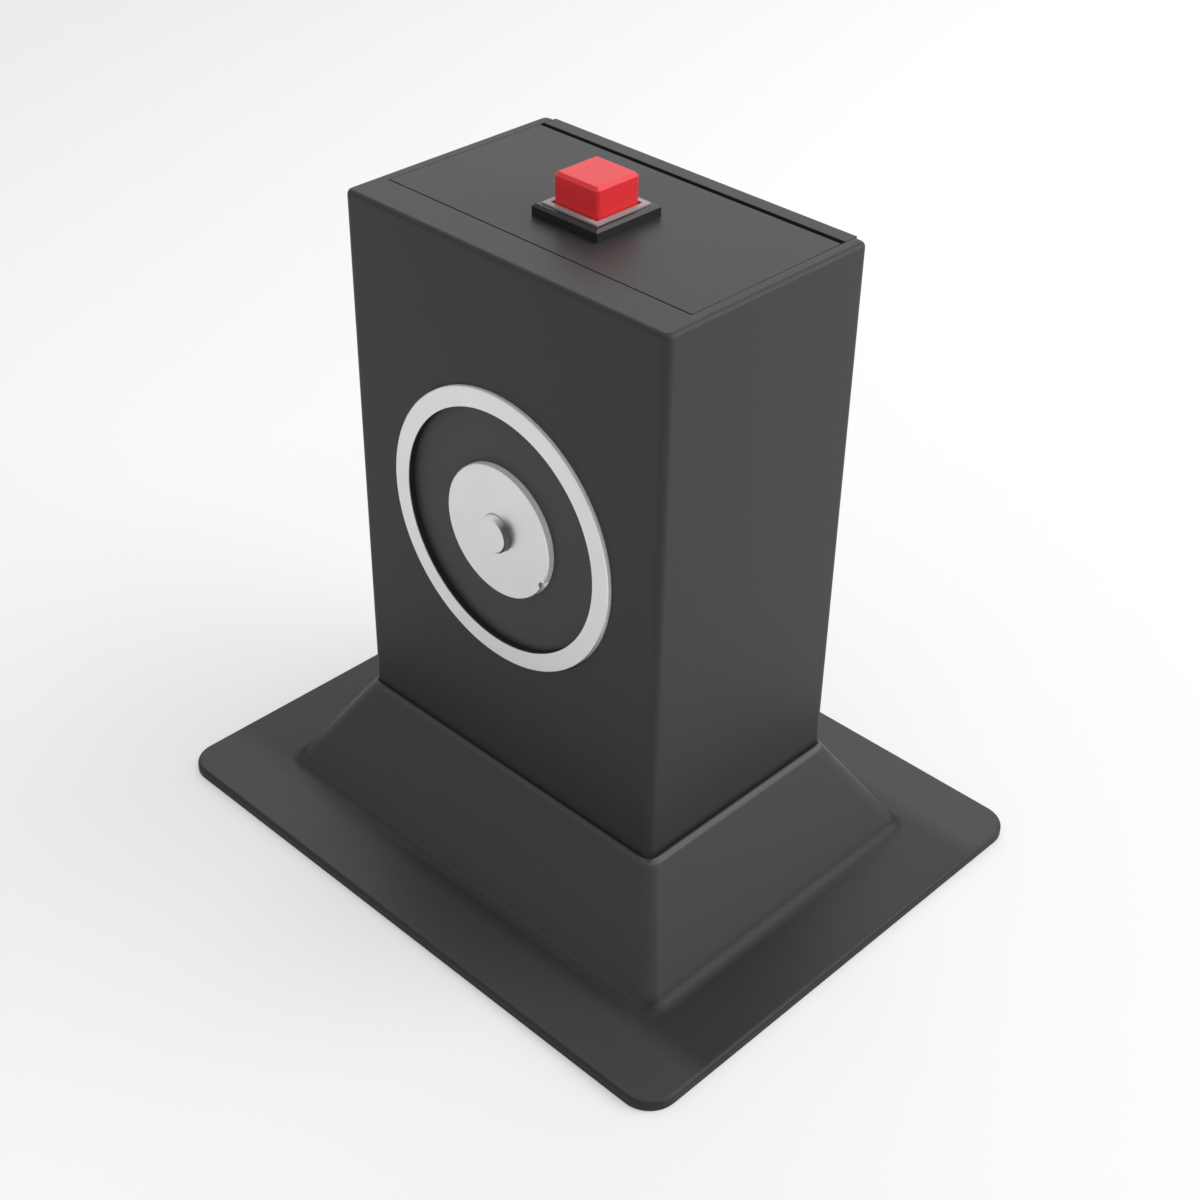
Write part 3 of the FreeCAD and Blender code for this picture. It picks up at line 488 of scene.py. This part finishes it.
    def painted_seam_shade(self, spot: Spot, below_rim: Maths) -> Maths:
        """How much painted shade lies at the housing's foot, just above the rim.

        Args:
            spot: the point of the surface.
            below_rim: its depth below the rim.

        Returns:
            The share of the painted shade's colour.
        """
        short_side = abs(spot.x) > (self.housing_x - self.corner)
        seam_shade_share = short_side * (self.seam_shade_short_side - self.seam_shade_long_side) + self.seam_shade_long_side
        return seam_shade_share * (below_rim < -self.hair) * below_rim.ramp(*self.seam_shade_fade)


@dataclass(frozen=True, kw_only=True)
class TurnedSteel(Finish):
    """Plated steel, faced on a lathe about the magnet's axis, with a black lacquered bore.

    Sizes are in millimetres. The pin's side gets painted shade that darkens towards +X, as the pin's fade
    says.
    """

    axis_z: float
    face_y: float
    pot_radius: float
    bore_radius: float
    core_radius: float
    pin_radius: float
    pitch: float = 0.22
    worn_grain: float = 1.4
    cloud_grain: float = 9.0
    depth: float = 0.0016
    edge: float = 0.1
    face_depth: float = 0.2
    bore_colour: tuple = (0.012, 0.012, 0.013)
    # colour of the painted shade on the pin's side
    pin_shade_colour: tuple = (0.11, 0.11, 0.11)
    pin_proud: float = 0.05
    pin_edge: float = 0.3
    pin_shade_fade: tuple = (0.2, 2.6)

    def paint(self, recipe: Recipe) -> None:
        """Rings about the axis, a dark bore between pole and cup, duller sides below the face and painted
        shade on the pin's side.

        Args:
            recipe: the material's node tree.
        """
        spot = recipe.spot()
        out = (spot.x * spot.x + (spot.z - self.axis_z) * (spot.z - self.axis_z)) ** 0.5
        rings = (out * (math.tau / self.pitch)).wave() * 0.5 + 0.5
        worn = recipe.noise(spot, self.worn_grain)
        cloud = recipe.noise(spot, self.cloud_grain, 3.0)
        below_face = spot.y > (self.face_y + self.face_depth)
        off_core = out > (self.core_radius + self.edge)
        core_side = (out > (self.core_radius - self.edge)) * (1 - off_core)
        bore = below_face * off_core * (out < (self.bore_radius + self.edge))
        sides = below_face * (core_side + (out > (self.pot_radius - self.edge)))
        pin = (spot.y < (self.face_y - self.pin_proud)) * (out > (self.pin_radius - self.pin_edge))
        # painted shade on the pin's side, darker towards +X
        pin_shade = pin * spot.x.ramp(*self.pin_shade_fade)
        bright = recipe.blend(cloud, shade(self.colour, 0.94), shade(self.colour, 1.03))
        lacquered = recipe.blend(bore, bright, self.bore_colour)
        recipe.set(base_color=recipe.blend(pin_shade, lacquered, self.pin_shade_colour),
                   metallic=1 - bore - sides * 0.8 - pin_shade * 0.6,
                   roughness=worn * 0.08 + rings * 0.05 + (bore + sides) * 0.25 + (self.roughness - 0.06))
        recipe.relief(rings * 0.6 + worn * 0.4, self.depth)


@dataclass(frozen=True)
class SheetSteel(Finish):
    """Plated or blackened steel with a faint crystal pattern."""

    crystal: float = 2.6
    grain: float = 0.3
    depth: float = 0.002
    metallic: float = 1.0

    def paint(self, recipe: Recipe) -> None:
        """Cells of slightly different tone, with a fine unevenness.

        Args:
            recipe: the material's node tree.
        """
        spot = recipe.spot()
        cells = recipe.node("ShaderNodeTexVoronoi", inputs={"Vector": spot.vector, "Scale": 1 / self.crystal})
        split = recipe.node("ShaderNodeSeparateColor", inputs={0: cells.outputs["Color"]})
        tone = Maths(recipe.tree, split.outputs[0])
        fine = recipe.noise(spot, self.grain)
        recipe.set(base_color=recipe.blend(tone, shade(self.colour, 0.9), shade(self.colour, 1.06)),
                   roughness=tone * 0.10 + fine * 0.05 + (self.roughness - 0.07), metallic=self.metallic)
        recipe.relief(fine, self.depth)


@dataclass(frozen=True)
class CastResin(Finish):
    """Poured resin with a softly uneven surface."""

    swell_grain: float = 6.0
    grain: float = 0.8
    depth: float = 0.05

    def paint(self, recipe: Recipe) -> None:
        """Slow swells in the surface and the gloss.

        Args:
            recipe: the material's node tree.
        """
        spot = recipe.spot()
        swell = recipe.noise(spot, self.swell_grain, 1.0)
        fine = recipe.noise(spot, self.grain)
        recipe.set(base_color=recipe.blend(swell, shade(self.colour, 0.85), shade(self.colour, 1.15)),
                   roughness=swell * 0.15 + fine * 0.05 + (self.roughness - 0.10))
        recipe.relief(swell * 0.8 + fine * 0.2, self.depth)


@dataclass(frozen=True)
class EnamelWire(Finish):
    """Enamelled copper with patches of darker varnish."""

    varnish: tuple = (0.30, 0.09, 0.035)
    patch_grain: float = 1.6
    depth: float = 0.004
    metallic: float = 0.85

    def paint(self, recipe: Recipe) -> None:
        """Varnish that collects in places along the turns.

        Args:
            recipe: the material's node tree.
        """
        spot = recipe.spot()
        patch = recipe.noise(spot, self.patch_grain)
        recipe.set(base_color=recipe.blend(patch * 0.6, self.colour, self.varnish),
                   roughness=patch * 0.12 + self.roughness, metallic=self.metallic)
        recipe.relief(patch, self.depth)


@dataclass(frozen=True)
class BoardMask(Finish):
    """Solder mask over copper tracks."""

    track: tuple = (0.05, 0.27, 0.11)
    pitch: float = 2.54
    track_level: float = 0.72
    patch_grain: float = 14.0
    patch_level: float = 0.47
    grain: float = 0.5
    depth: float = 0.03

    def paint(self, recipe: Recipe) -> None:
        """Tracks at a fixed pitch that show through the mask as lighter, raised lines.

        Args:
            recipe: the material's node tree.
        """
        spot = recipe.spot()
        lanes = (spot.x * (math.tau / self.pitch)).wave()
        copper = (lanes > self.track_level) * (recipe.noise(spot, self.patch_grain, 0.0) > self.patch_level)
        fine = recipe.noise(spot, self.grain)
        recipe.set(base_color=recipe.blend(copper, self.colour, self.track),
                   roughness=fine * 0.08 + copper * 0.06 + (self.roughness - 0.05))
        recipe.relief(copper * 0.8 + fine * 0.2, self.depth)


@dataclass(frozen=True)
class Sleeving(Finish):
    """Soft wire insulation, one colour on each side of the middle plane."""

    other: tuple = (0.012, 0.012, 0.014)
    split_x: float = 0.0
    grain: float = 0.7
    depth: float = 0.01

    def paint(self, recipe: Recipe) -> None:
        """Colour by side, with a dull, slightly uneven skin.

        Args:
            recipe: the material's node tree.
        """
        spot = recipe.spot()
        skin = recipe.noise(spot, self.grain)
        side = spot.x > self.split_x
        recipe.set(base_color=recipe.blend(side, self.colour, self.other),
                   roughness=skin * 0.1 + self.roughness)
        recipe.relief(skin, self.depth)


@dataclass(frozen=True)
class BandedDiode(Finish):
    """Black moulded body with a pale cathode band, and tinned leads."""

    band: tuple = (0.62, 0.62, 0.60)
    band_x: float = 1.6
    band_half: float = 0.4
    body_half: float = 2.61
    grain: float = 0.5
    depth: float = 0.008

    def paint(self, recipe: Recipe) -> None:
        """Band near one end, bright metal beyond the body's ends.

        Args:
            recipe: the material's node tree.
        """
        spot = recipe.spot()
        skin = recipe.noise(spot, self.grain)
        ring = abs(spot.x - self.band_x) < self.band_half
        lead = abs(spot.x) > self.body_half
        recipe.set(base_color=recipe.blend(ring + lead, self.colour, self.band), metallic=lead,
                   roughness=skin * 0.1 + self.roughness)
        recipe.relief(skin, self.depth)


def half_width(node: str) -> float:
    """Half of a node's width along X, in millimetres."""
    low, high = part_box(node)
    return (high.x - low.x) / 2 / MM


def housing_finish() -> HousingPlastic:
    """The moulding's finish, fitted to the frame's housing and plinth.

    Returns:
        The finish.
    """
    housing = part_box("housing_shell")[1]
    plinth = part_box("plinth")[1]
    return HousingPlastic("charcoal moulding", (0.030, 0.030, 0.031), 0.44, sheen_level=0.34,
                          housing_x=housing.x / MM, housing_y=housing.y / MM, rim_z=plinth.z / MM)


def pole_finish() -> TurnedSteel:
    """The magnet's finish, fitted to the frame's magnet.

    Returns:
        The finish.
    """
    low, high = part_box("magnet_pot")
    return TurnedSteel("turned nickel-plated steel", (0.97, 0.97, 0.96), 0.34,
                       axis_z=(low.z + high.z) / 2 / MM, face_y=low.y / MM,
                       pot_radius=half_width("magnet_pot"), bore_radius=half_width("potting_ring"),
                       core_radius=half_width("magnet_core"), pin_radius=half_width("ejector_pin"))


def slot_finishes() -> dict[Slot, Finish]:
    """One finish for each of the record's slots.

    Returns:
        The finishes by slot.
    """
    fine = {"grain": 0.4, "depth": 0.006}
    return {
        Slot.HOUSING: housing_finish(),
        Slot.POLE: pole_finish(),
        Slot.ZINC: SheetSteel("zinc-plated steel", (0.60, 0.62, 0.64), 0.38),
        Slot.BLACK_STEEL: SheetSteel("blackened steel", (0.035, 0.035, 0.038), 0.42,
                                     crystal=0.9, metallic=0.7),
        Slot.SPRING: SheetSteel("spring steel", (0.50, 0.50, 0.51), 0.30, crystal=0.6),
        Slot.POTTING: CastResin("potting resin", (0.040, 0.041, 0.042), 0.50),
        Slot.BOBBIN: MouldedPlastic("bobbin plastic", (0.03, 0.03, 0.03), 0.5),
        Slot.COPPER: EnamelWire("enamelled copper", (0.72, 0.30, 0.13), 0.28),
        Slot.RED: MouldedPlastic("button plastic", (0.82, 0.021, 0.029), 0.42,
                                 grain=0.5, depth=0.004, mottle=0.03),
        Slot.BEZEL: MouldedPlastic("bezel plastic", (0.014, 0.014, 0.015), 0.34, **fine),
        Slot.SWITCH: MouldedPlastic("switch plastic", (0.38, 0.33, 0.33), 0.42, **fine),
        Slot.BRASS: SheetSteel("contact brass", (0.72, 0.55, 0.25), 0.28, crystal=0.8),
        Slot.BOARD: BoardMask("circuit board", (0.012, 0.11, 0.045), 0.35),
        Slot.TERMINAL: MouldedPlastic("terminal plastic", (0.03, 0.22, 0.06), 0.38, **fine),
        Slot.PLUG: MouldedPlastic("plug plastic", (0.70, 0.68, 0.62), 0.42, **fine),
        Slot.DIODE: BandedDiode("diode body", (0.02, 0.02, 0.02), 0.40),
        Slot.SLEEVING: Sleeving("wire sleeving", (0.42, 0.012, 0.010), 0.42),
    }


@dataclass
class Palette:
    """The materials of all slots, each made once."""

    finishes: dict[Slot, Finish]
    made: dict[Slot, bpy.types.Material] = field(default_factory=dict)

    def material(self, slot: Slot) -> bpy.types.Material:
        """The material of a slot, made at its first use.

        Args:
            slot: the slot.

        Returns:
            The material.
        """
        if slot not in self.made:
            self.made[slot] = self.finishes[slot].material()
        return self.made[slot]


@dataclass
class SubAssembly:
    """A group of pieces that is put together on the bench before the rest."""

    palette: Palette
    body: str = "housing"

    def nodes(self) -> dict[Slot, tuple[str, ...]]:
        """The frame's nodes by slot."""
        return {}

    def dress(self) -> None:
        """Gives each of the frame's nodes its material."""
        for slot, names in self.nodes().items():
            for name in names:
                piece = frame["nodes"][name]
                piece.data.materials.clear()
                piece.data.materials.append(self.palette.material(slot))
                LOG.info("dressed %s as %s", name, slot.value)

    def build(self) -> None:
        """Models the pieces that the frame holds only in a plain form."""

    def seat(self, piece: bpy.types.Object, body: str, slot: Slot, *stands_for: str) -> bpy.types.Object:
        """Finishes a new piece: its place goes into its mesh and it rides on a body.

        Args:
            piece: the modelled piece.
            body: the body that carries it.
            slot: its material slot.
            stands_for: the nodes that it replaces.

        Returns:
            The piece.
        """
        piece.data.transform(piece.matrix_world)
        piece.matrix_world = Matrix.Identity(4)
        piece.data.materials.clear()
        piece.data.materials.append(self.palette.material(slot))
        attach(piece, body)
        if stands_for:
            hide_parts(*stands_for)
        LOG.info("built %s on %s", piece.name, body)
        return piece


def deselect() -> None:
    """Leaves edit mode and selects nothing."""
    if bpy.context.object and bpy.context.object.mode != "OBJECT":
        bpy.ops.object.mode_set(mode="OBJECT")
    bpy.ops.object.select_all(action="DESELECT")


def finish_mesh(piece: bpy.types.Object, smooth_deg: float = 35.0) -> None:
    """Closes small gaps, turns the faces outwards and shades round faces smooth.

    Args:
        piece: the piece, which becomes the only one selected.
        smooth_deg: edges sharper than this stay sharp.
    """
    deselect()
    piece.select_set(True)
    bpy.context.view_layer.objects.active = piece
    bpy.ops.object.mode_set(mode="EDIT")
    bpy.ops.mesh.select_all(action="SELECT")
    bpy.ops.mesh.remove_doubles(threshold=1e-7)
    bpy.ops.mesh.normals_make_consistent(inside=False)
    bpy.ops.object.mode_set(mode="OBJECT")
    bpy.ops.object.shade_smooth_by_angle(angle=math.radians(smooth_deg))


@dataclass
class CoilSpring:
    """A round-wire compression spring along one axis, fitted to the box of its node."""

    node: str
    wire: float
    turns: float
    along_y: bool = False
    steps: int = 28
    sides: int = 12

    def model(self) -> bpy.types.Object:
        """Turns a wire section round the axis with a screw and closes its ends.

        Returns:
            The spring as one mesh.
        """
        low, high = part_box(self.node)
        middle = (low + high) / 2
        size = high - low
        length = (size.y if self.along_y else size.z) - self.wire
        radius = (size.x - self.wire) / 2
        deselect()
        bpy.ops.mesh.primitive_circle_add(vertices=self.sides, radius=self.wire / 2, fill_type="NOTHING",
                                          location=(0, 0, 0), rotation=(math.pi / 2, 0, 0))
        coil = bpy.context.object
        coil.name = self.node + "_round"
        bpy.ops.object.transform_apply(location=True, rotation=True, scale=True)
        coil.data.transform(Matrix.Translation((radius, 0, -length / 2)))
        screw = coil.modifiers.new("turns", "SCREW")
        screw.axis = "Z"
        screw.angle = math.tau * self.turns
        screw.screw_offset = length
        screw.iterations = 1
        screw.steps = screw.render_steps = round(self.steps * self.turns)
        bpy.ops.object.modifier_apply(modifier=screw.name)
        bpy.ops.object.mode_set(mode="EDIT")
        bpy.ops.mesh.select_all(action="SELECT")
        bpy.ops.mesh.fill_holes(sides=0)
        bpy.ops.object.mode_set(mode="OBJECT")
        if self.along_y:
            coil.data.transform(Matrix.Rotation(-math.pi / 2, 4, "X"))
        coil.data.transform(Matrix.Translation(middle))
        finish_mesh(coil)
        return coil


@dataclass
class Plinth(SubAssembly):
    """Plinth, floor plate and the screws that clamp them."""

    def nodes(self) -> dict[Slot, tuple[str, ...]]:
        """The frame's nodes by slot."""
        return {Slot.HOUSING: ("plinth",), Slot.ZINC: ("floor_plate", "base_screws")}


@dataclass
class Housing(SubAssembly):
    """Shell, top panel and rear cover."""

    def nodes(self) -> dict[Slot, tuple[str, ...]]:
        """The frame's nodes by slot.

        Returns:
            The nodes' names for each slot.
        """
        return {
            Slot.HOUSING: ("housing_shell", "top_panel", "rear_cover"),
            Slot.BLACK_STEEL: ("rear_cover_screws",),
        }


@dataclass
class Magnet(SubAssembly):
    """Cup, pole, coil, potting, sprung pin and the bracket behind them."""

    coil_wire: float = 0.5 * MM
    hub_wall: float = 1.15 * MM
    coil_steps: int = 96
    wire_sides: int = 8
    spring_wire: float = 0.7 * MM
    spring_turns: float = 5.0

    def nodes(self) -> dict[Slot, tuple[str, ...]]:
        """The frame's nodes by slot.

        Returns:
            The nodes' names for each slot.
        """
        return {
            Slot.POLE: ("magnet_pot", "magnet_core", "ejector_pin"),
            Slot.POTTING: ("potting_ring",),
            Slot.BOBBIN: ("coil_bobbin",),
            Slot.COPPER: ("coil_winding",),
            Slot.ZINC: ("magnet_bracket", "bracket_bolts", "bracket_washers"),
            Slot.BLACK_STEEL: ("magnet_screws",),
            Slot.SPRING: ("ejector_clip", "ejector_spring"),
            Slot.SLEEVING: ("magnet_leads",),
        }

    def build(self) -> None:
        """The coil's turns and the pin's spring."""
        self.seat(self.winding(), self.body, Slot.COPPER, "coil_winding")
        low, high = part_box("ejector_spring")
        spring = CoilSpring("ejector_spring", self.spring_wire, self.spring_turns, along_y=True).model()
        self.seat(spring, self.body, Slot.SPRING, "ejector_spring")
        1 - travel("ejector_press") / (high.y - low.y)
        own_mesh(spring)

    def winding(self) -> bpy.types.Object:
        """The coil: a tube with one ring of wire for each turn of its outer and inner layers.

        Returns:
            The winding as one mesh.
        """
        low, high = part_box("coil_winding")
        middle = (low + high) / 2
        outer = (high.x - low.x) / 2
        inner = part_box("magnet_core")[1].x + self.hub_wall
        turns = int((high.y - low.y) / self.coil_wire)
        deselect()
        rings = []
        for radius in (outer - self.coil_wire / 2, inner + self.coil_wire / 2):
            bpy.ops.mesh.primitive_torus_add(major_radius=radius, minor_radius=self.coil_wire / 2,
                                             major_segments=self.coil_steps, minor_segments=self.wire_sides,
                                             location=(0, low.y + self.coil_wire / 2, middle.z),
                                             rotation=(math.pi / 2, 0, 0))
            ring = bpy.context.object
            row = ring.modifiers.new("turns", "ARRAY")
            row.use_relative_offset = False
            row.use_constant_offset = True
            row.constant_offset_displace = (0, 0, -(high.y - low.y - self.coil_wire) / (turns - 1))
            row.count = turns
            bpy.ops.object.modifier_apply(modifier=row.name)
            rings.append(ring)
        bpy.ops.mesh.primitive_cylinder_add(vertices=self.coil_steps, radius=outer - self.coil_wire / 2,
                                            depth=high.y - low.y - self.coil_wire, location=middle,
                                            rotation=(math.pi / 2, 0, 0), end_fill_type="NOTHING")
        tube = bpy.context.object
        wall = tube.modifiers.new("wall", "SOLIDIFY")
        wall.thickness = outer - inner - self.coil_wire
        wall.offset = -1
        bpy.ops.object.modifier_apply(modifier=wall.name)
        for ring in rings:
            ring.select_set(True)
        bpy.context.view_layer.objects.active = tube
        bpy.ops.object.join()
        tube.name = "coil_turns"
        finish_mesh(tube)
        return tube


@dataclass
class ReleaseButton(SubAssembly):
    """Cap, bezel and switch."""

    spring_wire: float = 0.6 * MM
    spring_turns: float = 4.0

    def nodes(self) -> dict[Slot, tuple[str, ...]]:
        """The frame's nodes by slot.

        Returns:
            The nodes' names for each slot.
        """
        return {
            Slot.RED: ("button_cap",),
            Slot.BEZEL: ("button_bezel", "switch_clip"),
            Slot.SWITCH: ("switch_body", "switch_plunger"),
            Slot.SPRING: ("switch_spring",),
            Slot.BRASS: ("switch_blades",),
            Slot.SLEEVING: ("switch_leads",),
        }

    def build(self) -> None:
        """The cap's return spring."""
        low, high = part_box("switch_spring")
        spring = CoilSpring("switch_spring", self.spring_wire, self.spring_turns).model()
        self.seat(spring, self.body, Slot.SPRING, "switch_spring")
        1 - travel("button_press") / (high.z - low.z)
        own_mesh(spring)


@dataclass
class Electrics(SubAssembly):
    """Circuit board and what stands on it."""

    def nodes(self) -> dict[Slot, tuple[str, ...]]:
        """The frame's nodes by slot.

        Returns:
            The nodes' names for each slot.
        """
        return {
            Slot.BOARD: ("circuit_board",),
            Slot.ZINC: ("board_standoffs", "board_screws", "terminal_screws"),
            Slot.TERMINAL: ("terminal_block",),
            Slot.DIODE: ("suppression_diode",),
            Slot.PLUG: ("switch_plug",),
        }


def travel(joint: str) -> float:
    """How far a sliding joint goes, in metres."""
    return next(max(j["range_m"]) for j in frame["joints"] if j["name"] == joint)


@dataclass(frozen=True)
class SoftBox:
    """A large soft studio lamp."""

    name: str
    place: tuple[float, float, float]
    aim: tuple[float, float, float]
    width: float
    height: float
    watts: float

    def hang(self) -> None:
        """Adds the lamp and turns it towards its aim."""
        lamp = bpy.data.lights.new(self.name, "AREA")
        lamp.shape = "RECTANGLE"
        lamp.size = self.width
        lamp.size_y = self.height
        lamp.energy = self.watts
        stand = bpy.data.objects.new(self.name, lamp)
        bpy.context.scene.collection.objects.link(stand)
        stand.location = self.place
        stand.rotation_euler = (Vector(self.aim) - Vector(self.place)).to_track_quat("-Z", "Y").to_euler()


@dataclass(frozen=True)
class Studio:
    """Pale floor, soft light and the camera."""

    azimuth: float = 44.06
    elevation: float = 35.26
    roll: float = 0.85
    distance: float = 0.38031
    look_at: tuple[float, float, float] = (0.00123, 0.0, 0.05040)
    focal_px: float = 1974.2
    frame_px: float = 1200.0
    sensor: float = 36.0
    floor_half: float = 3.0
    floor_gap: float = 0.0002
    sky: float = 0.62
    floor_seen: tuple[float, float, float] = (0.62, 0.62, 0.62)
    floor_far_shade: tuple[float, float, float] = (0.504, 0.504, 0.504)
    floor_shade_fade: tuple[float, float] = (-160.0, -480.0)
    floor_thrown: tuple[float, float, float] = (0.75, 0.75, 0.75)
    floor_glow: tuple[float, float, float] = (0.335, 0.335, 0.335)
    lamps: tuple[SoftBox, ...] = (
        SoftBox("back lamp", (-0.75, 0.85, 1.0), (0, 0, 0.06), 1.1, 1.1, 3.5),
        SoftBox("right lamp", (1.05, 0.80, 0.95), (0, 0, 0.06), 1.7, 1.7, 19.5),
    )

    def camera(self) -> None:
        """Puts the camera where the photograph was taken from."""
        azimuth, elevation, roll = (math.radians(a) for a in (self.azimuth, self.elevation, self.roll))
        back = Vector((math.sin(azimuth) * math.cos(elevation),
                       -math.cos(azimuth) * math.cos(elevation),
                       math.sin(elevation)))
        level = Vector((math.cos(azimuth), math.sin(azimuth), 0))
        upright = back.cross(level)
        right = math.cos(roll) * level + math.sin(roll) * upright
        up = math.cos(roll) * upright - math.sin(roll) * level
        data = bpy.data.cameras.new("camera")
        data.sensor_width = self.sensor
        data.lens = self.focal_px / self.frame_px * self.sensor
        data.clip_start, data.clip_end = 0.01, 20.0
        camera = bpy.data.objects.new("camera", data)
        bpy.context.scene.collection.objects.link(camera)
        place = Vector(self.look_at) + back * self.distance
        turn = Matrix((right, up, back)).transposed().to_4x4()
        camera.matrix_world = Matrix.Translation(place) @ turn
        bpy.context.scene.camera = camera

    def floor(self) -> None:
        """A pale floor with painted shade that darkens it far left, and a painted glow, seen only by camera
        rays, that softens the shadows.
        """
        deselect()
        bpy.ops.mesh.primitive_plane_add(size=2 * self.floor_half, location=(0, 0, -self.floor_gap))
        floor = bpy.context.object
        floor.name = "studio_floor"
        recipe = Recipe("studio floor")
        seen = Maths(recipe.tree, recipe.node("ShaderNodeLightPath").outputs["Is Camera Ray"])
        # painted shade: the floor that the camera sees darkens far left
        tone = recipe.blend(recipe.spot().x.ramp(*self.floor_shade_fade), self.floor_seen, self.floor_far_shade)
        # painted glow, for camera rays only, that lightens the shadows on the floor
        recipe.set(base_color=recipe.blend(seen, self.floor_thrown, tone), roughness=0.9,
                   emission_color=recipe.blend(seen, (0.0, 0.0, 0.0), self.floor_glow), emission_strength=1.0)
        floor.data.materials.append(recipe.material)

    def light(self) -> None:
        """An even pale surround and the soft lamps."""
        world = bpy.data.worlds.new("studio")
        world.use_nodes = True
        surround = world.node_tree.nodes["Background"]
        surround.inputs["Color"].default_value = (1.0, 1.0, 1.0, 1.0)
        surround.inputs["Strength"].default_value = self.sky
        bpy.context.scene.world = world
        bpy.context.scene.view_settings.view_transform = "Standard"
        for lamp in self.lamps:
            lamp.hang()


def main() -> None:
    """Dresses and builds the sub-assemblies, then sets up the studio."""
    logging.basicConfig(level=logging.INFO, format="%(message)s")
    palette = Palette(slot_finishes())
    studio = Studio()
    studio.camera()
    for kind in (Plinth, Housing, Magnet, ReleaseButton, Electrics):
        group = kind(palette)
        group.dress()
        group.build()
    studio.floor()
    studio.light()


if __name__ == "__main__":
    main()
